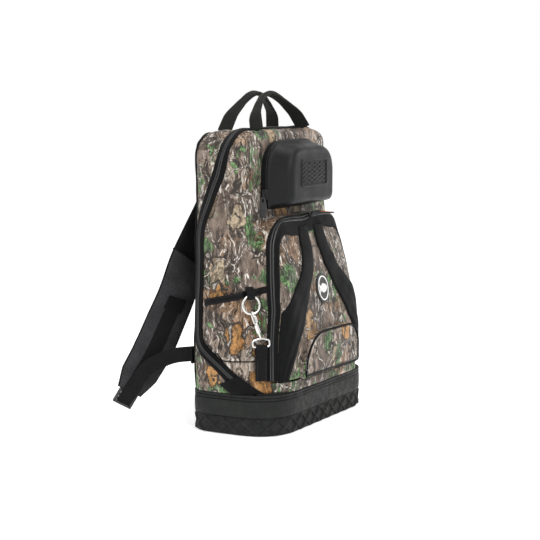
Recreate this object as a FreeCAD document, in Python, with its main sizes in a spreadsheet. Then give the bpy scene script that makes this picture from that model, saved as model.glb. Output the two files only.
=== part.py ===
import FreeCAD, Part
import math
import os

# Tackle backpack: a moulded rubber tray, a fabric bag zipped around three sides, a front pocket,
# a hard case, two carrying handles and two shoulder straps. Front is -Y, up is +Z.
# The origin is the middle of the underside of the tray.

V = FreeCAD.Vector
doc = FreeCAD.newDocument("TackleBackpack")
dims = doc.addObject("Spreadsheet::Sheet", "Dims")

DRIVING = (
    ("base_half_width", 178),
    ("base_half_depth", 84.5),
    ("rim_height", 67.4),
    ("base_wall", 4.5),
    ("floor_thick", 4),
    ("bag_back", 80),
    ("bag_top", 488),
    ("bag_wall", 3),
    ("shoulder_radius", 78),
    ("zip_back", 60),
    ("zip_top", 20),
    ("tape_width", 10),
    ("play", 0.4),
    ("door_bottom", 86.2),
    ("door_top", 347),
    ("door_wall", 2.5),
    ("door_tape", 8),
    ("door_hinge_y", -84),
    ("case_half_width", 88),
    ("case_low", 360),
    ("case_high", 470),
    ("case_face", -60),
    ("case_flange", -18.6),
    ("case_wall", 2.5),
    ("pocket_bulge", 10),
    ("pocket_low", 120),
    ("handle_span", 82),
    ("handle_rise", 65),
    ("webbing", 25),
    ("webbing_thick", 4),
    ("strap_width", 65),
    ("strap_thick", 14),
    ("ring_radius", 14.5),
    ("wire_radius", 2),
    ("pad_thick", 10),
)

for row, (alias, value) in enumerate(DRIVING, start=1):
    dims.set("A%d" % row, alias)
    dims.set("B%d" % row, str(value))
    dims.setAlias("B%d" % row, alias)
doc.recompute()

NODES = []


def dim(alias):
    """Number held by a cell of the sheet."""
    return float(dims.get(alias))


def number(value):
    """Plain number of a size that is a number or an expression on the sheet."""
    if isinstance(value, str):
        return float(dims.evalExpression(value))
    return float(value)


def keep(obj, label):
    """Marks an object as a sub-part of its own."""
    obj.Label = label
    NODES.append(obj)
    return obj


def rounded(corners):
    """Lines and tangent arcs of a closed outline of (u, v, radius) corners."""
    marks = []
    for i, (u, v, radius) in enumerate(corners):
        corner = V(u, v, 0)
        before = V(corners[i - 1][0], corners[i - 1][1], 0) - corner
        after_u, after_v = corners[(i + 1) % len(corners)][:2]
        after = V(after_u, after_v, 0) - corner
        before.normalize()
        after.normalize()
        if radius <= 0:
            marks.append((corner, None, corner))
            continue
        half = before.getAngle(after) / 2
        reach = radius / math.tan(half)
        bisector = (before + after).normalize()
        centre = corner + bisector * (radius / math.sin(half))
        marks.append((corner + before * reach, centre - bisector * radius, corner + after * reach))
    edges = []
    for i, (start, middle, end) in enumerate(marks):
        if middle is not None:
            edges.append(Part.Arc(start, middle, end))
        following = marks[(i + 1) % len(marks)][0]
        if (following - end).Length > 1e-3:
            edges.append(Part.LineSegment(end, following))
    return edges


def sketch_on(body, plane, offset, geometry):
    """Sketch on one of the body's own origin planes, moved along its normal."""
    sketch = body.newObject("Sketcher::SketchObject", body.Name + "_sketch")
    support = [item for item in body.Origin.OriginFeatures if item.Role == plane + "_Plane"][0]
    sketch.AttachmentSupport = (support, [""])
    sketch.MapMode = "FlatFace"
    if isinstance(offset, str):
        sketch.setExpression(".AttachmentOffset.Base.z", offset)
    else:
        sketch.AttachmentOffset = FreeCAD.Placement(V(0, 0, offset), FreeCAD.Rotation())
    sketch.addGeometry(geometry, False)
    return sketch


def prism(name, plane, corners, low, high):
    """Outline padded from low to high along the third axis."""
    body = doc.addObject("PartDesign::Body", name)
    return pad_on(body, plane, rounded(corners), low, high)


def pad_on(body, plane, geometry, low, high):
    """Pad between two stations of the plane's own axis; the XZ plane's normal is -Y."""
    offset = "-(%s)" % high if plane == "XZ" else "%s" % low
    sketch = sketch_on(body, plane, offset, geometry)
    pad = body.newObject("PartDesign::Pad", body.Name + "_pad")
    pad.Profile = sketch
    pad.setExpression("Length", "(%s) - (%s)" % (high, low))
    return body


def loft(name, sections):
    """Ruled loft through (z, corners) sections."""
    body = doc.addObject("PartDesign::Body", name)
    sketches = [sketch_on(body, "XY", z, rounded(corners)) for z, corners in sections]
    additive = body.newObject("PartDesign::AdditiveLoft", name + "_loft")
    additive.Profile = sketches[0]
    additive.Sections = sketches[1:]
    additive.Ruled = True
    return body


def common(name, *shapes):
    """Volume that all the objects share."""
    result = shapes[0]
    for i, other in enumerate(shapes[1:], start=1):
        pair = doc.addObject("Part::Common", name if i == len(shapes) - 1 else "%s_%d" % (name, i))
        pair.Base = result
        pair.Tool = other
        result = pair
    return result


def fuse(name, *shapes):
    """Union of the objects."""
    result = doc.addObject("Part::MultiFuse", name)
    result.Shapes = list(shapes)
    return result


def cut(name, base, tool):
    """Base without the tool."""
    result = doc.addObject("Part::Cut", name)
    result.Base = base
    result.Tool = tool
    return result


def mirrored(obj, label):
    """Copy of a left-hand piece on the right-hand side."""
    result = doc.addObject("Part::Mirroring", obj.Name + "_mirror")
    result.Source = obj
    result.Normal = V(1, 0, 0)
    result.Base = V(0, 0, 0)
    return keep(result, label)


def box(name, low, high):
    """Part::Box between two corners, each given by numbers or expressions."""
    result = doc.addObject("Part::Box", name)
    for axis, length, a, b in zip("xyz", ("Length", "Width", "Height"), low, high):
        result.setExpression(length, "(%s) - (%s)" % (b, a))
        result.setExpression(".Placement.Base." + axis, "%s" % a)
    return result


def plan(half_width, front, back, front_radius, back_radius):
    """Rounded rectangle seen from above."""
    return [
        (half_width, front, front_radius),
        (half_width, back, back_radius),
        (-half_width, back, back_radius),
        (-half_width, front, front_radius),
    ]


def offset_line(points, distance):
    """Open polyline of (u, v, radius) points moved to its left by distance."""
    moved = []
    for i, (u, v, radius) in enumerate(points):
        normals = []
        for a, b in ((i - 1, i), (i, i + 1)):
            if a < 0 or b >= len(points):
                continue
            run = V(points[b][0] - points[a][0], points[b][1] - points[a][1], 0).normalize()
            normals.append((V(-run.y, run.x, 0), run))
        miter = sum((normal for normal, run in normals), V(0, 0, 0))
        scale = distance * len(normals) / miter.dot(miter)
        turn = 0
        if len(normals) == 2:
            turn = normals[0][1].cross(normals[1][1]).z
        new_radius = radius
        if radius > 0 and turn:
            new_radius = max(radius - math.copysign(distance, turn), 0.5)
        moved.append((u + miter.x * scale, v + miter.y * scale, new_radius))
    return moved


# The bag -----------------------------------------------------------------------------------

# Height, half width, front face and front corner radius of the bag at four levels.
BAG = ((60, 177, -67, 65), (180, 177, -46, 65), (360, 168, -7, 42), (495, 168, -4, 40))
# The same for the front pocket, which stands out of the bag's front.
POCKET = ((60, 152, -84.5, 52), (157, 150.7, -83, 52), (212, 147.6, -76, 50), (260, 138, -67, 46),
          (360, 118, -42, 40))
ZIP = [(-62, 45, 0), (60, 145, 40), (60, 335, 90), (20, 430, 90), (20, 530, 0)]
LEG = [(-60, 40, 0), (-60, 205, 120), (-45, 306, 60), (-44.5, 400, 0)]
blocks = {}


def bag_block(grow, low="Dims.rim_height"):
    """The whole bag above the tray, grown outwards by grow."""
    key = ("bag", grow, low)
    if key in blocks:
        return blocks[key]
    name = "BagBlock%d" % len(blocks)
    back = dim("bag_back") + grow
    top = dim("bag_top") + grow
    bottom = number(low)
    sections = []
    for z, width, front, radius in BAG:
        sections.append((z - 20 if z == 60 else z, plan(width + grow, front - grow, back, radius + grow, 40 + grow)))
    body = loft(name + "Body", sections)
    wide = 178 + grow
    narrow = 168.4 + grow
    shoulder = dim("shoulder_radius") + grow
    front_view = prism(name + "Front", "XZ", [
        (-wide, bottom, 0), (wide, bottom, 0), (wide, 185, 0), (narrow, 365, 0), (narrow, top, shoulder),
        (-narrow, top, shoulder), (-narrow, 365, 0), (-wide, 185, 0)], -200, 200)
    side_view = prism(name + "Side", "YZ", [
        (-110, 30, 0), (back + 5, 30, 0), (back + 0.1, 360, 0), (back + 0.1, top, 30 + grow),
        (-4 - grow - 0.3, top, 16 + grow), (-7.5 - grow, 365, 0), (-110, 340, 0)], -250, 250)
    blocks[key] = common(name, body, front_view, side_view)
    return blocks[key]


def pocket_block(grow, low="Dims.rim_height + 0.6"):
    """The front pocket, grown outwards by grow."""
    key = ("pocket", grow, low)
    if key in blocks:
        return blocks[key]
    name = "PocketBlock%d" % len(blocks)
    top = dim("door_top") + grow
    bottom = number(low)
    sections = []
    for z, width, front, radius in POCKET:
        sections.append((z - 20 if z == 60 else z, plan(width + grow, front - grow, 10, radius + grow, 1)))
    body = loft(name + "Body", sections)
    front_view = prism(name + "Front", "XZ", [
        (-153 - grow, bottom, 0), (153 + grow, bottom, 0), (150.6 + grow, 205, 0),
        (121.5 + grow, top, 66 + grow), (-121.5 - grow, top, 66 + grow), (-150.6 - grow, 205, 0)], -200, 60)
    side_view = prism(name + "Side", "YZ", [
        (60, 30, 0), (60, top, 0), (-45.5 - grow, top, 14 + grow), (-68.5 - grow, 255, 0), (-140, 240, 0),
        (-140, 30, 0)], -250, 250)
    blocks[key] = common(name, body, front_view, side_view)
    return blocks[key]


def skin(name, block, outer, inner):
    """Layer of a block between two amounts of growth, open at the bottom."""
    return cut(name, block(outer), block(inner, 20))


def side_region(name, corners, low=-250, high=250):
    """Prism along X of a region drawn in the side view."""
    return prism(name, "YZ", corners, low, high)


def front_region(name, corners, low=-200, high=0):
    """Prism along Y of a region drawn in the front view."""
    return prism(name, "XZ", corners, low, high)


def make_base():
    """Rubber tray: tread band, waist groove, smooth band and two rim grooves."""
    body = doc.addObject("PartDesign::Body", "MouldedBase")
    bands = ((0, 3, 5), (3, 28.2, 0.6), (28, 30.2, 2.2), (30, 57, 0), (57, 58.6, 1.4), (58.4, 62, 0),
             (62, 63.6, 1.4), (63.4, "Dims.rim_height", 0))
    for low, high, inset in bands:
        half_width = dim("base_half_width") - inset
        half_depth = dim("base_half_depth") - inset
        outline = plan(half_width, -half_depth, half_depth, 75 - inset, 50 - inset)
        pad_on(body, "XY", rounded(outline), low, high)
    wall = dim("base_wall")
    half_width = dim("base_half_width") - wall
    half_depth = dim("base_half_depth") - wall
    outline = rounded(plan(half_width, -half_depth, half_depth, 75 - wall, 50 - wall))
    sketch = sketch_on(body, "XY", "Dims.rim_height", outline)
    doc.recompute()
    before = body.Shape.Volume
    pocket = body.newObject("PartDesign::Pocket", "TrayHollow")
    pocket.Profile = sketch
    pocket.setExpression("Length", "Dims.rim_height - Dims.floor_thick")
    doc.recompute()
    if body.Shape.Volume >= before:
        raise RuntimeError("the tray is not hollowed")
    keep(body, "moulded_base")
    half_width = dim("base_half_width") - wall - 6
    half_depth = dim("base_half_depth") - wall - 4
    board = prism("BaseBoard", "XY", plan(half_width, -half_depth, half_depth, 66, 42),
                  "Dims.floor_thick", "Dims.floor_thick + 3")
    keep(board, "base_board")


def make_bag():
    """Rear and front halves of the bag and the two halves of the zip tape between them."""
    shell = skin("BagShell", bag_block, 0, -3)
    tape = skin("BagTape", bag_block, 0.5, -2)
    width = dim("tape_width")
    gap = dim("play")
    behind = offset_line(ZIP, -width)
    rear = side_region("RearRegion", behind + [(200, 530, 0), (200, 30, 0), (behind[0][0] - 20, 30, 0)])
    keep(common("RearShell", shell, rear), "rear_shell")
    ahead = offset_line(ZIP, width)
    front = side_region("FrontRegion", [(-200, 30, 0)] + ahead + [(-200, 530, 0)])
    keep(common("FrontShell", shell, front), "front_shell")
    near = offset_line(ZIP, -gap / 2)
    rear_band = side_region("RearBand", near + behind[::-1])
    keep(common("RearTape", tape, rear_band), "rear_zip_tape")
    near = offset_line(ZIP, gap / 2)
    front_band = side_region("FrontBand", near + ahead[::-1])
    keep(common("FrontTape", tape, front_band), "front_zip_tape")
    layer = skin("GussetLayer", bag_block, 2.4, 1.4)
    corner = side_region("GussetRegion", [(18, 82, 0), (-2, 68, 0), (-50, 68, 0), (-15, 98, 0)], -250, -100)
    left = keep(common("ZipEndLeft", layer, corner), "zip_end_left")
    mirrored(left, "zip_end_right")


def make_back():
    """Stiff board, padding, strap yoke, lower anchors and the pocket inside the back."""
    board = prism("BackBoard", "XZ", [(-136, 74, 20), (136, 74, 20), (126, 458, 70), (-126, 458, 70)],
                  "Dims.bag_back - Dims.bag_wall - 3", "Dims.bag_back - Dims.bag_wall - 0.2")
    keep(board, "back_board")
    near = "Dims.bag_back + 0.3"
    far = "Dims.bag_back + 0.3 + Dims.pad_thick"
    left = prism("BackPad", "XZ", [(-118, 136, 22), (-24, 136, 22), (-24, 326, 22), (-104, 326, 26)], near, far)
    round_edges(left, 4.5, number(far))
    keep(left, "back_pad_left")
    mirrored(left, "back_pad_right")
    lumbar = prism("LumbarPad", "XZ", [(-104, 74, 18), (104, 74, 18), (112, 126, 18), (-112, 126, 18)],
                   near, far)
    round_edges(lumbar, 4.5, number(far))
    keep(lumbar, "lumbar_pad")
    yoke = prism("StrapYoke", "XZ", [(-108, 428, 8), (108, 428, 8), (96, 458, 10), (-96, 458, 10)],
                 near, "Dims.bag_back + 4")
    keep(yoke, "strap_yoke")
    anchor = box("LowerAnchor", (-162, 80.3, 106), (-134, 84, 134))
    keep(anchor, "lower_anchor_left")
    mirrored(anchor, "lower_anchor_right")
    outer = box("InnerPocketOuter", (-130, 42, 92), (130, "Dims.bag_back - Dims.bag_wall - 3.2", 290))
    hollow = box("InnerPocketHollow", (-128, 44, 94), (128, "Dims.bag_back - Dims.bag_wall - 5.2", 300))
    keep(cut("InnerPocket", outer, hollow), "inner_pocket")


def round_edges(body, radius, station):
    """Fillet on the outline edges of the face at a station along Y."""
    doc.recompute()
    tip = body.Tip
    names = []
    for number_, edge in enumerate(tip.Shape.Edges, start=1):
        if all(abs(vertex.Y - station) < 0.01 for vertex in edge.Vertexes):
            names.append("Edge%d" % number_)
    fillet = body.newObject("PartDesign::Fillet", body.Name + "_fillet")
    fillet.Base = (tip, names)
    fillet.Radius = radius
    doc.recompute()


def make_front_pocket():
    """Gusset, door and zip of the front pocket, with the panels sewn on the door."""
    shell = skin("PocketShell", pocket_block, 0, -2.5)
    tape = skin("PocketTape", pocket_block, 0.5, -2)
    width = dim("door_tape")
    gap = dim("play")
    low = dim("door_bottom")
    lines = {}
    for step in (-width, -gap / 2, gap / 2, width):
        moved = offset_line(LEG, step)
        moved[0] = (moved[0][0], low, 0)
        lines[step] = moved
    back = side_region("PocketBackRegion", [(30, 30, 0), (-140, 30, 0), (-140, low - 0.6, 0)]
                       + [(lines[-width][0][0], low - 0.6, 0)] + lines[-width][1:] + [(30, 400, 0)])
    inside = bag_block(0.0)
    gusset = common("PocketBack", shell, back)
    keep(cut("PocketGusset", gusset, inside), "pocket_gusset")
    back_band = side_region("PocketBackBand", lines[-gap / 2] + lines[-width][::-1])
    keep(cut("PocketBackTape", common("PocketBackTapeBand", tape, back_band), inside), "pocket_zip_tape")
    front = side_region("DoorRegion", [(-140, low, 0)] + lines[width] + [(-140, 400, 0)])
    keep(common("DoorPanel", shell, front), "door_panel")
    front_band = side_region("DoorBand", lines[gap / 2] + lines[width][::-1])
    keep(common("DoorTape", tape, front_band), "door_zip_tape")
    door_area = side_region("DoorArea", [(-140, low, 0)] + offset_line(lines[width], 0.5) + [(-140, 400, 0)])
    layer = common("SwooshLayer", skin("SwooshSkin", pocket_block, 1.5, 0), door_area)
    outline = [(-38, 328, 0), (-11, 328, 0), (-12, 297, 60), (-22, 258, 60), (-46, 225, 60), (-76, 175, 90),
               (-98, 148, 90), (-112, 118, 60), (-124, low, 0), (-170, low, 0), (-170, 178, 0), (-152, 176, 20),
               (-98, 224, 60), (-60, 258, 60), (-44, 290, 60)]
    left = keep(common("Swoosh", layer, front_region("SwooshRegion", outline)), "swoosh_left")
    mirrored(left, "swoosh_right")
    arch = [(-92, low + 1, 0), (99, low + 1, 0), (99, 156, 48), (-84, 156, 62)]
    bulge = skin("ArchLayer", pocket_block, 12, 0.05)
    keep(common("ArchPanel", bulge, front_region("ArchRegion", arch)), "arch_pocket")
    outer = [(-95.2, low + 1, 0), (102.2, low + 1, 0), (102.2, 159.2, 50), (-87, 159.2, 64)]
    inner = [(-93.6, low - 9, 0), (99.2, low - 9, 0), (99.2, 156.3, 48), (-84.3, 156.3, 62)]
    ring = cut("PipingRing", front_region("PipingOuter", outer), front_region("PipingInner", inner))
    keep(common("ArchPiping", skin("PipingLayer", pocket_block, 12.6, 1.6), ring), "arch_piping")
    badge = doc.addObject("PartDesign::Body", "Badge")
    ellipse = Part.Ellipse(V(0, 248.5, 0), V(21, 224, 0), V(0, 224, 0))
    pad_on(badge, "XZ", [ellipse], -200, 0)
    badge_layer = skin("BadgeLayer", pocket_block, 2.2, 0.05)
    keep(common("BadgePlate", badge_layer, badge), "badge")


def case_outline(inset, grow=0):
    """D-shaped outline of the case in the front view."""
    side = dim("case_half_width") - inset
    low = dim("case_low") + inset * 0.7
    high = dim("case_high") - inset
    return [(-side, low, 12), (side, low, 12), (side, high, 55 - inset), (-side, high, 55 - inset)]


def case_solid(name, inset, face):
    """Domed block of the lid; inset gives the block inside its wall."""
    body = doc.addObject("PartDesign::Body", name)
    stations = (("Dims.case_flange + %s" % (20 if inset else 0), 0), ("Dims.case_flange - 3", 0.3),
                ("%s + 14" % face, 8), ("%s + 8" % face, 9.8), ("%s + 3.4" % face, 12.6),
                ("%s + 0.9" % face, 16.2), (face, 20.5))
    sketches = [sketch_on(body, "XZ", "-(%s)" % y, rounded(case_outline(step + inset))) for y, step in stations]
    additive = body.newObject("PartDesign::AdditiveLoft", name + "_loft")
    additive.Profile = sketches[0]
    additive.Sections = sketches[1:]
    additive.Ruled = True
    return body


def make_case():
    """Moulded case: back plate, soft gusset and the lid hinged along its lower edge."""
    back = prism("CaseBack", "XZ", case_outline(1), -9.6, -7.7)
    keep(back, "case_back")
    outer = prism("CaseGussetOuter", "XZ", case_outline(0.6), "Dims.case_flange + 0.5", -9.6)
    inner = prism("CaseGussetInner", "XZ", case_outline(3.4), "Dims.case_flange - 5", 0)
    keep(cut("CaseGusset", outer, inner), "case_gusset")
    dome = case_solid("CaseOuter", 0, "Dims.case_face")
    flange = prism("CaseFlange", "XZ", case_outline(-1.6), "Dims.case_flange - 4", "Dims.case_flange")
    emblem = prism("CaseEmblem", "XZ", [(-46, 394, 5), (46, 394, 5), (46, 440, 5), (-46, 440, 5)],
                   "Dims.case_face - 1.2", "Dims.case_face + 1")
    recess = prism("CaseRecess", "XZ", [(-42.5, 397.5, 3), (42.5, 397.5, 3), (42.5, 436.5, 3), (-42.5, 436.5, 3)],
                   "Dims.case_face - 5", "Dims.case_face - 0.4")
    solid = cut("CaseFull", fuse("CaseFused", dome, flange, emblem), recess)
    hollow = case_solid("CaseHollow", 2.5, "Dims.case_face + Dims.case_wall")
    keep(cut("CaseLid", solid, hollow), "case_lid")


def bulged(name, outer, inner, corners):
    """Part of a layer around the bag, on the left side only."""
    return common(name, skin(name + "Skin", bag_block, outer, inner), side_region(name + "Region", corners, -250, -100))


def make_side_pockets():
    """Side pockets: a full rear part and a flat front part, open at the slanted top, with a bound edge."""
    full = dim("pocket_bulge")
    flat = 3.5
    low = dim("pocket_low")
    rear = [(47, 160, 10), (47, 216, 0), (-14, 231.4, 0), (-14, low, 0), (12, low, 4)]
    rear_hollow = [(45, 162, 10), (45, 260, 0), (-12, 260, 0), (-12, low + 2, 2), (11, low + 2, 4)]
    front = [(-13, 231.2, 0), (-44, 239, 0), (-44, low, 4), (-13, low, 0)]
    front_hollow = [(-11, 260, 0), (-42, 260, 0), (-42, low + 2, 4), (-11, low + 2, 0)]
    outer = fuse("SideOuter", bulged("SideFull", full, 0.05, rear), bulged("SideFlat", flat, 0.05, front))
    inner = fuse("SideInner", bulged("SideFullHollow", full - 2, 0.02, rear_hollow),
                 bulged("SideFlatHollow", flat - 1.6, 0.02, front_hollow))
    front_pocket = pocket_block(0.3)
    left = keep(cut("SidePocket", cut("SideWall", outer, inner), front_pocket), "side_pocket_left")
    mirrored(left, "side_pocket_right")
    band = [(47.6, 207, 0), (47.6, 218, 0), (-14.8, 233.6, 0), (-14.8, 222.6, 0)]
    step = [(-14, 222.4, 0), (-14, 233.4, 0), (-14.8, 233.6, 0), (-14.8, 222.6, 0)]
    flat_band = [(-14, 222.4, 0), (-14, 233.4, 0), (-44.6, 241, 0), (-44.6, 230, 0)]
    binding = fuse("Binding", bulged("BindingFull", full + 0.8, full + 0.02, band),
                   bulged("BindingStep", full + 0.8, flat, step),
                   bulged("BindingFlat", flat + 0.8, flat + 0.02, flat_band))
    left = keep(cut("SideBinding", binding, front_pocket), "side_binding_left")
    mirrored(left, "side_binding_right")


def handle(name, label, foot, lean):
    """Webbing arch that narrows to a folded grip; foot is its Y station, lean its tilt."""
    span = dim("handle_span")
    rise = dim("handle_rise")
    thick = dim("webbing_thick")
    line = [(-span, 0, 0), (-span + 10, 22, 40), (-0.53 * span, 0.66 * rise, 50), (0, rise + 3, 60),
            (0.53 * span, 0.66 * rise, 50), (span - 10, 22, 40), (span, 0, 0)]
    inner = offset_line(line, -thick)
    inner[0] = (inner[0][0], 0, 0)
    inner[-1] = (inner[-1][0], 0, 0)
    arch = prism(name + "Arch", "XZ", line + inner[::-1], -20, 20)
    half = dim("webbing") / 2
    waist = side_region(name + "Waist", [(-half, -1, 0), (half, -1, 0), (half, 18, 30), (6.3, 52, 30),
                                         (6.3, 90, 0), (-6.3, 90, 0), (-6.3, 52, 30), (-half, 18, 30)])
    result = keep(common(name, arch, waist), label)
    top = dim("bag_top") + 1.1
    result.Placement = FreeCAD.Placement(V(0, foot, top + 12.5 * math.sin(math.radians(abs(lean)))),
                                         FreeCAD.Rotation(V(1, 0, 0), lean))
    return result


def make_handles():
    """Rear and front carrying handles that lean towards each other."""
    handle("RearHandle", "rear_handle", 63, 12.5)
    handle("FrontHandle", "front_handle", 5.5, -22)


STRAP = ((-70, 88, 421), (-78, 96, 372), (-92, 110, 320), (-106, 123.5, 270), (-118, 136, 215),
         (-130, 151, 170), (-142, 169, 121), (-152, 191, 78), (-158, 208, 48))
STRAP_TURN = (0, 4, 14, 26, 36, 43, 48, 51, 53)


def strap_frames():
    """Point, direction, width and thickness directions along the left strap."""
    frames = []
    for i, point in enumerate(STRAP):
        ahead = V(*STRAP[min(i + 1, len(STRAP) - 1)])
        behind = V(*STRAP[max(i - 1, 0)])
        run = (ahead - behind).normalize()
        angle = math.radians(STRAP_TURN[i])
        flat = V(math.cos(angle), -math.sin(angle), 0)
        wide = (flat - run * flat.dot(run)).normalize()
        frames.append((V(*point), run, wide, run.cross(wide)))
    return frames


def slab(centre, wide, thick, half_width, half_thick, corner):
    """Closed wire of a flat section with cut corners."""
    points = []
    for a, b in ((-1, -1), (1, -1), (1, 1), (-1, 1)):
        first = (a * (half_width - (0 if a == b else corner)), b * (half_thick - (corner if a == b else 0)))
        second = (a * (half_width - (corner if a == b else 0)), b * (half_thick - (0 if a == b else corner)))
        for u, v in (first, second):
            points.append(centre + wide * u + thick * v)
    return Part.makePolygon(points + [points[0]])


def make_straps():
    """Padded straps with their ladder locks and the lower webbing."""
    frames = strap_frames()
    widths = [0.86, 0.96, 1, 1, 1, 1, 1, 0.94, 0.62]
    half = dim("strap_width") / 2
    thick = dim("strap_thick") / 2
    wires = []
    for (centre, run, wide, up), share in zip(frames, widths):
        wires.append(slab(centre, wide, up, half * share, thick * (0.55 if share < 0.7 else 1), 3.5))
    pad = doc.addObject("Part::Feature", "StrapPad")
    pad.Shape = Part.makeLoft(wires, True, True)
    pad.Placement = FreeCAD.Placement()
    left = keep(pad, "strap_pad_left")
    mirrored(left, "strap_pad_right")
    centre, run, wide, up = frames[-1]
    frame_turn = FreeCAD.Rotation(wide, up, run, "XYZ")
    lock = prism("LadderLock", "XY", [(-17, -4, 1.5), (17, -4, 1.5), (17, 4, 1.5), (-17, 4, 1.5)], 0.5, 27)
    slots = []
    for i, low in enumerate((6, 14, 21)):
        slots.append(prism("LockSlot%d" % i, "XY", [(-13.2, -9, 0), (13.2, -9, 0), (13.2, 9, 0), (-13.2, 9, 0)],
                           low, low + 3.2))
    lock_cut = cut("LadderLockCut", lock, fuse("LockSlots", *slots))
    lock_cut.Placement = FreeCAD.Placement(centre, frame_turn)
    left = keep(lock_cut, "ladder_lock_left")
    mirrored(left, "ladder_lock_right")
    start = centre + run * 14 + up * 5.2
    path = [start, start + run * -26 + up * 9, V(-166, 166, 92), V(-156, 126, 114), V(-148, 88.5, 121)]
    faces = []
    for i, point in enumerate(path):
        ahead = path[min(i + 1, len(path) - 1)]
        behind = path[max(i - 1, 0)]
        along = (ahead - behind).normalize()
        flat = V(0, 0, 1) if i > 1 else wide
        across = (flat - along * flat.dot(along)).normalize()
        faces.append(slab(point, across, along.cross(across), dim("webbing") / 2, 1, 0.3))
    web = doc.addObject("Part::Feature", "LowerWebbing")
    web.Shape = Part.makeLoft(faces, True, True)
    web.Placement = FreeCAD.Placement()
    left = keep(web, "lower_webbing_left")
    mirrored(left, "lower_webbing_right")


def placed(obj, label, point, turn):
    """Keeps a piece drawn about its own origin, then turns it about Z and moves it."""
    obj.Placement = FreeCAD.Placement(V(*point), FreeCAD.Rotation(V(0, 0, 1), turn))
    return keep(obj, label)


def slider(name):
    """Zip slider: a plate with a nose for the pull, drawn face along +X."""
    plate = box(name + "Plate", (0.9, -5, -8), (3.2, 5, 8))
    nose = box(name + "Nose", (3, -1.5, -3), (7.6, 1.5, 4))
    return fuse(name, plate, nose)


def pull(name, length, half_width):
    """Pull tab with an eye at its top; the eye's middle is the origin."""
    tab = prism(name + "Tab", "YZ", [(-half_width, -length, 2), (half_width, -length, 2), (half_width, -7, 2),
                                     (3.5, 5.5, 3), (-3.5, 5.5, 3), (-half_width, -7, 2)], -1, 1)
    hole = prism(name + "Hole", "YZ", [(-2, -3, 0.5), (2, -3, 0.5), (2, 3.4, 0.5), (-2, 3.4, 0.5)], -3, 3)
    return cut(name, tab, hole)


def make_sliders():
    """Sliders and pulls of the main zip, the case and the front pocket."""
    for i, z in enumerate((285, 236)):
        point = (167.9 - 0.05 * (z - 260), 60.1, z)
        turn = 30
        placed(slider("MainSlider%d" % i), "main_slider_%d" % (i + 1), point, turn)
        across = math.cos(math.radians(turn)), math.sin(math.radians(turn))
        eye = (point[0] + 9 * across[0], point[1] + 9 * across[1], z - 9.5)
        placed(pull("MainPull%d" % i, 22, 4.5), "main_pull_%d" % (i + 1), eye, turn)
    placed(slider("CaseSlider"), "case_slider", (-89.2, -17.5, 384), 180)
    placed(pull("CasePull", 28, 6), "case_pull", (-98.2, -17.5, 374.5), 180)
    small = slider("PocketSlider")
    small.Placement = FreeCAD.Placement(V(18, -44.85, 343.25),
                                        FreeCAD.Rotation(V(0, -1, 1), V(0, -1, -1), V(1, 0, 0), "XZY"))
    keep(small, "pocket_slider")
    tab = pull("PocketPull", 30, 4)
    tab.Placement = FreeCAD.Placement(V(18, -57.8, 349.6),
                                      FreeCAD.Rotation(V(0, 0, 1), V(-1, 0, 0), V(0, 1, 0), "XZY"))
    keep(tab, "pocket_pull")


HOOK_TURN = -38.2
HOOK_POINT = (-157.6, -33.2, 0)
HOOK_SHIFT = -6
HOOK_OUT = -2
HOOK_TOP = 227
HOOK_TILT = 8.5
HOOK_LEAN = 18


def hook_piece(obj, label, point, axis, angle, upright=False):
    """Keeps a piece of the hook chain, which leans out of the tab's frame as it rests on the pocket."""
    frame = FreeCAD.Placement(V(*HOOK_POINT), FreeCAD.Rotation(V(0, 0, 1), HOOK_TURN))
    pivot = V(0, HOOK_OUT, HOOK_TOP)
    tilt = FreeCAD.Rotation(V(1, 0, 0), -HOOK_TILT)
    spot = pivot + tilt.multVec(point - pivot)
    turn = FreeCAD.Rotation(axis, angle)
    if not upright:
        turn = tilt.multiply(turn)
    obj.Placement = frame.multiply(FreeCAD.Placement(spot, turn))
    return keep(obj, label)


def racetrack(half_width, half_length):
    """Closed loop in the YZ plane whose top is at the wire's own radius above the origin."""
    return [(-half_width, 1.8, half_width - 0.1), (half_width, 1.8, half_width - 0.1),
            (half_width, 1.8 - 2 * half_length, half_width - 0.1),
            (-half_width, 1.8 - 2 * half_length, half_width - 0.1)]


def wire_frame(half_width, top, bottom):
    """Closed D-shaped loop: narrow at the top, straight along the bottom."""
    return [(-4, -1.2, 2), (4, -1.2, 2), (half_width, -top, 3.5), (half_width, -bottom, 3.5),
            (-half_width, -bottom, 3.5), (-half_width, -top, 3.5)]


def round_bar(name, corners, radius):
    """Round bar bent along a closed outline; the racetrack lies across the tab, the frame along it."""
    across = name == "HookLoop"
    edges = [piece.toShape() for piece in rounded(corners)]
    path = Part.Wire(Part.__sortEdges__(edges))
    turn = FreeCAD.Rotation(V(0, 1, 0), V(0, 0, 1), V(1, 0, 0), "XYZ")
    if not across:
        turn = FreeCAD.Rotation(V(1, 0, 0), V(0, 0, 1), V(0, -1, 0), "XYZ")
    path.Placement = FreeCAD.Placement(V(0, 0, 0), turn)
    start = path.Edges[0].Vertexes[0].Point
    tangent = path.Edges[0].tangentAt(path.Edges[0].FirstParameter)
    circle = Part.Wire(Part.makeCircle(radius, start, tangent))
    bar = doc.addObject("Part::Feature", name)
    bar.Shape = path.makePipeShell([circle], True, True)
    return bar


def cylinder(name, radius, height, base):
    """Upright Part::Cylinder on a base point."""
    result = doc.addObject("Part::Cylinder", name)
    result.Radius = radius
    result.Height = height
    result.Placement = FreeCAD.Placement(base, FreeCAD.Rotation())
    return result


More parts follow.
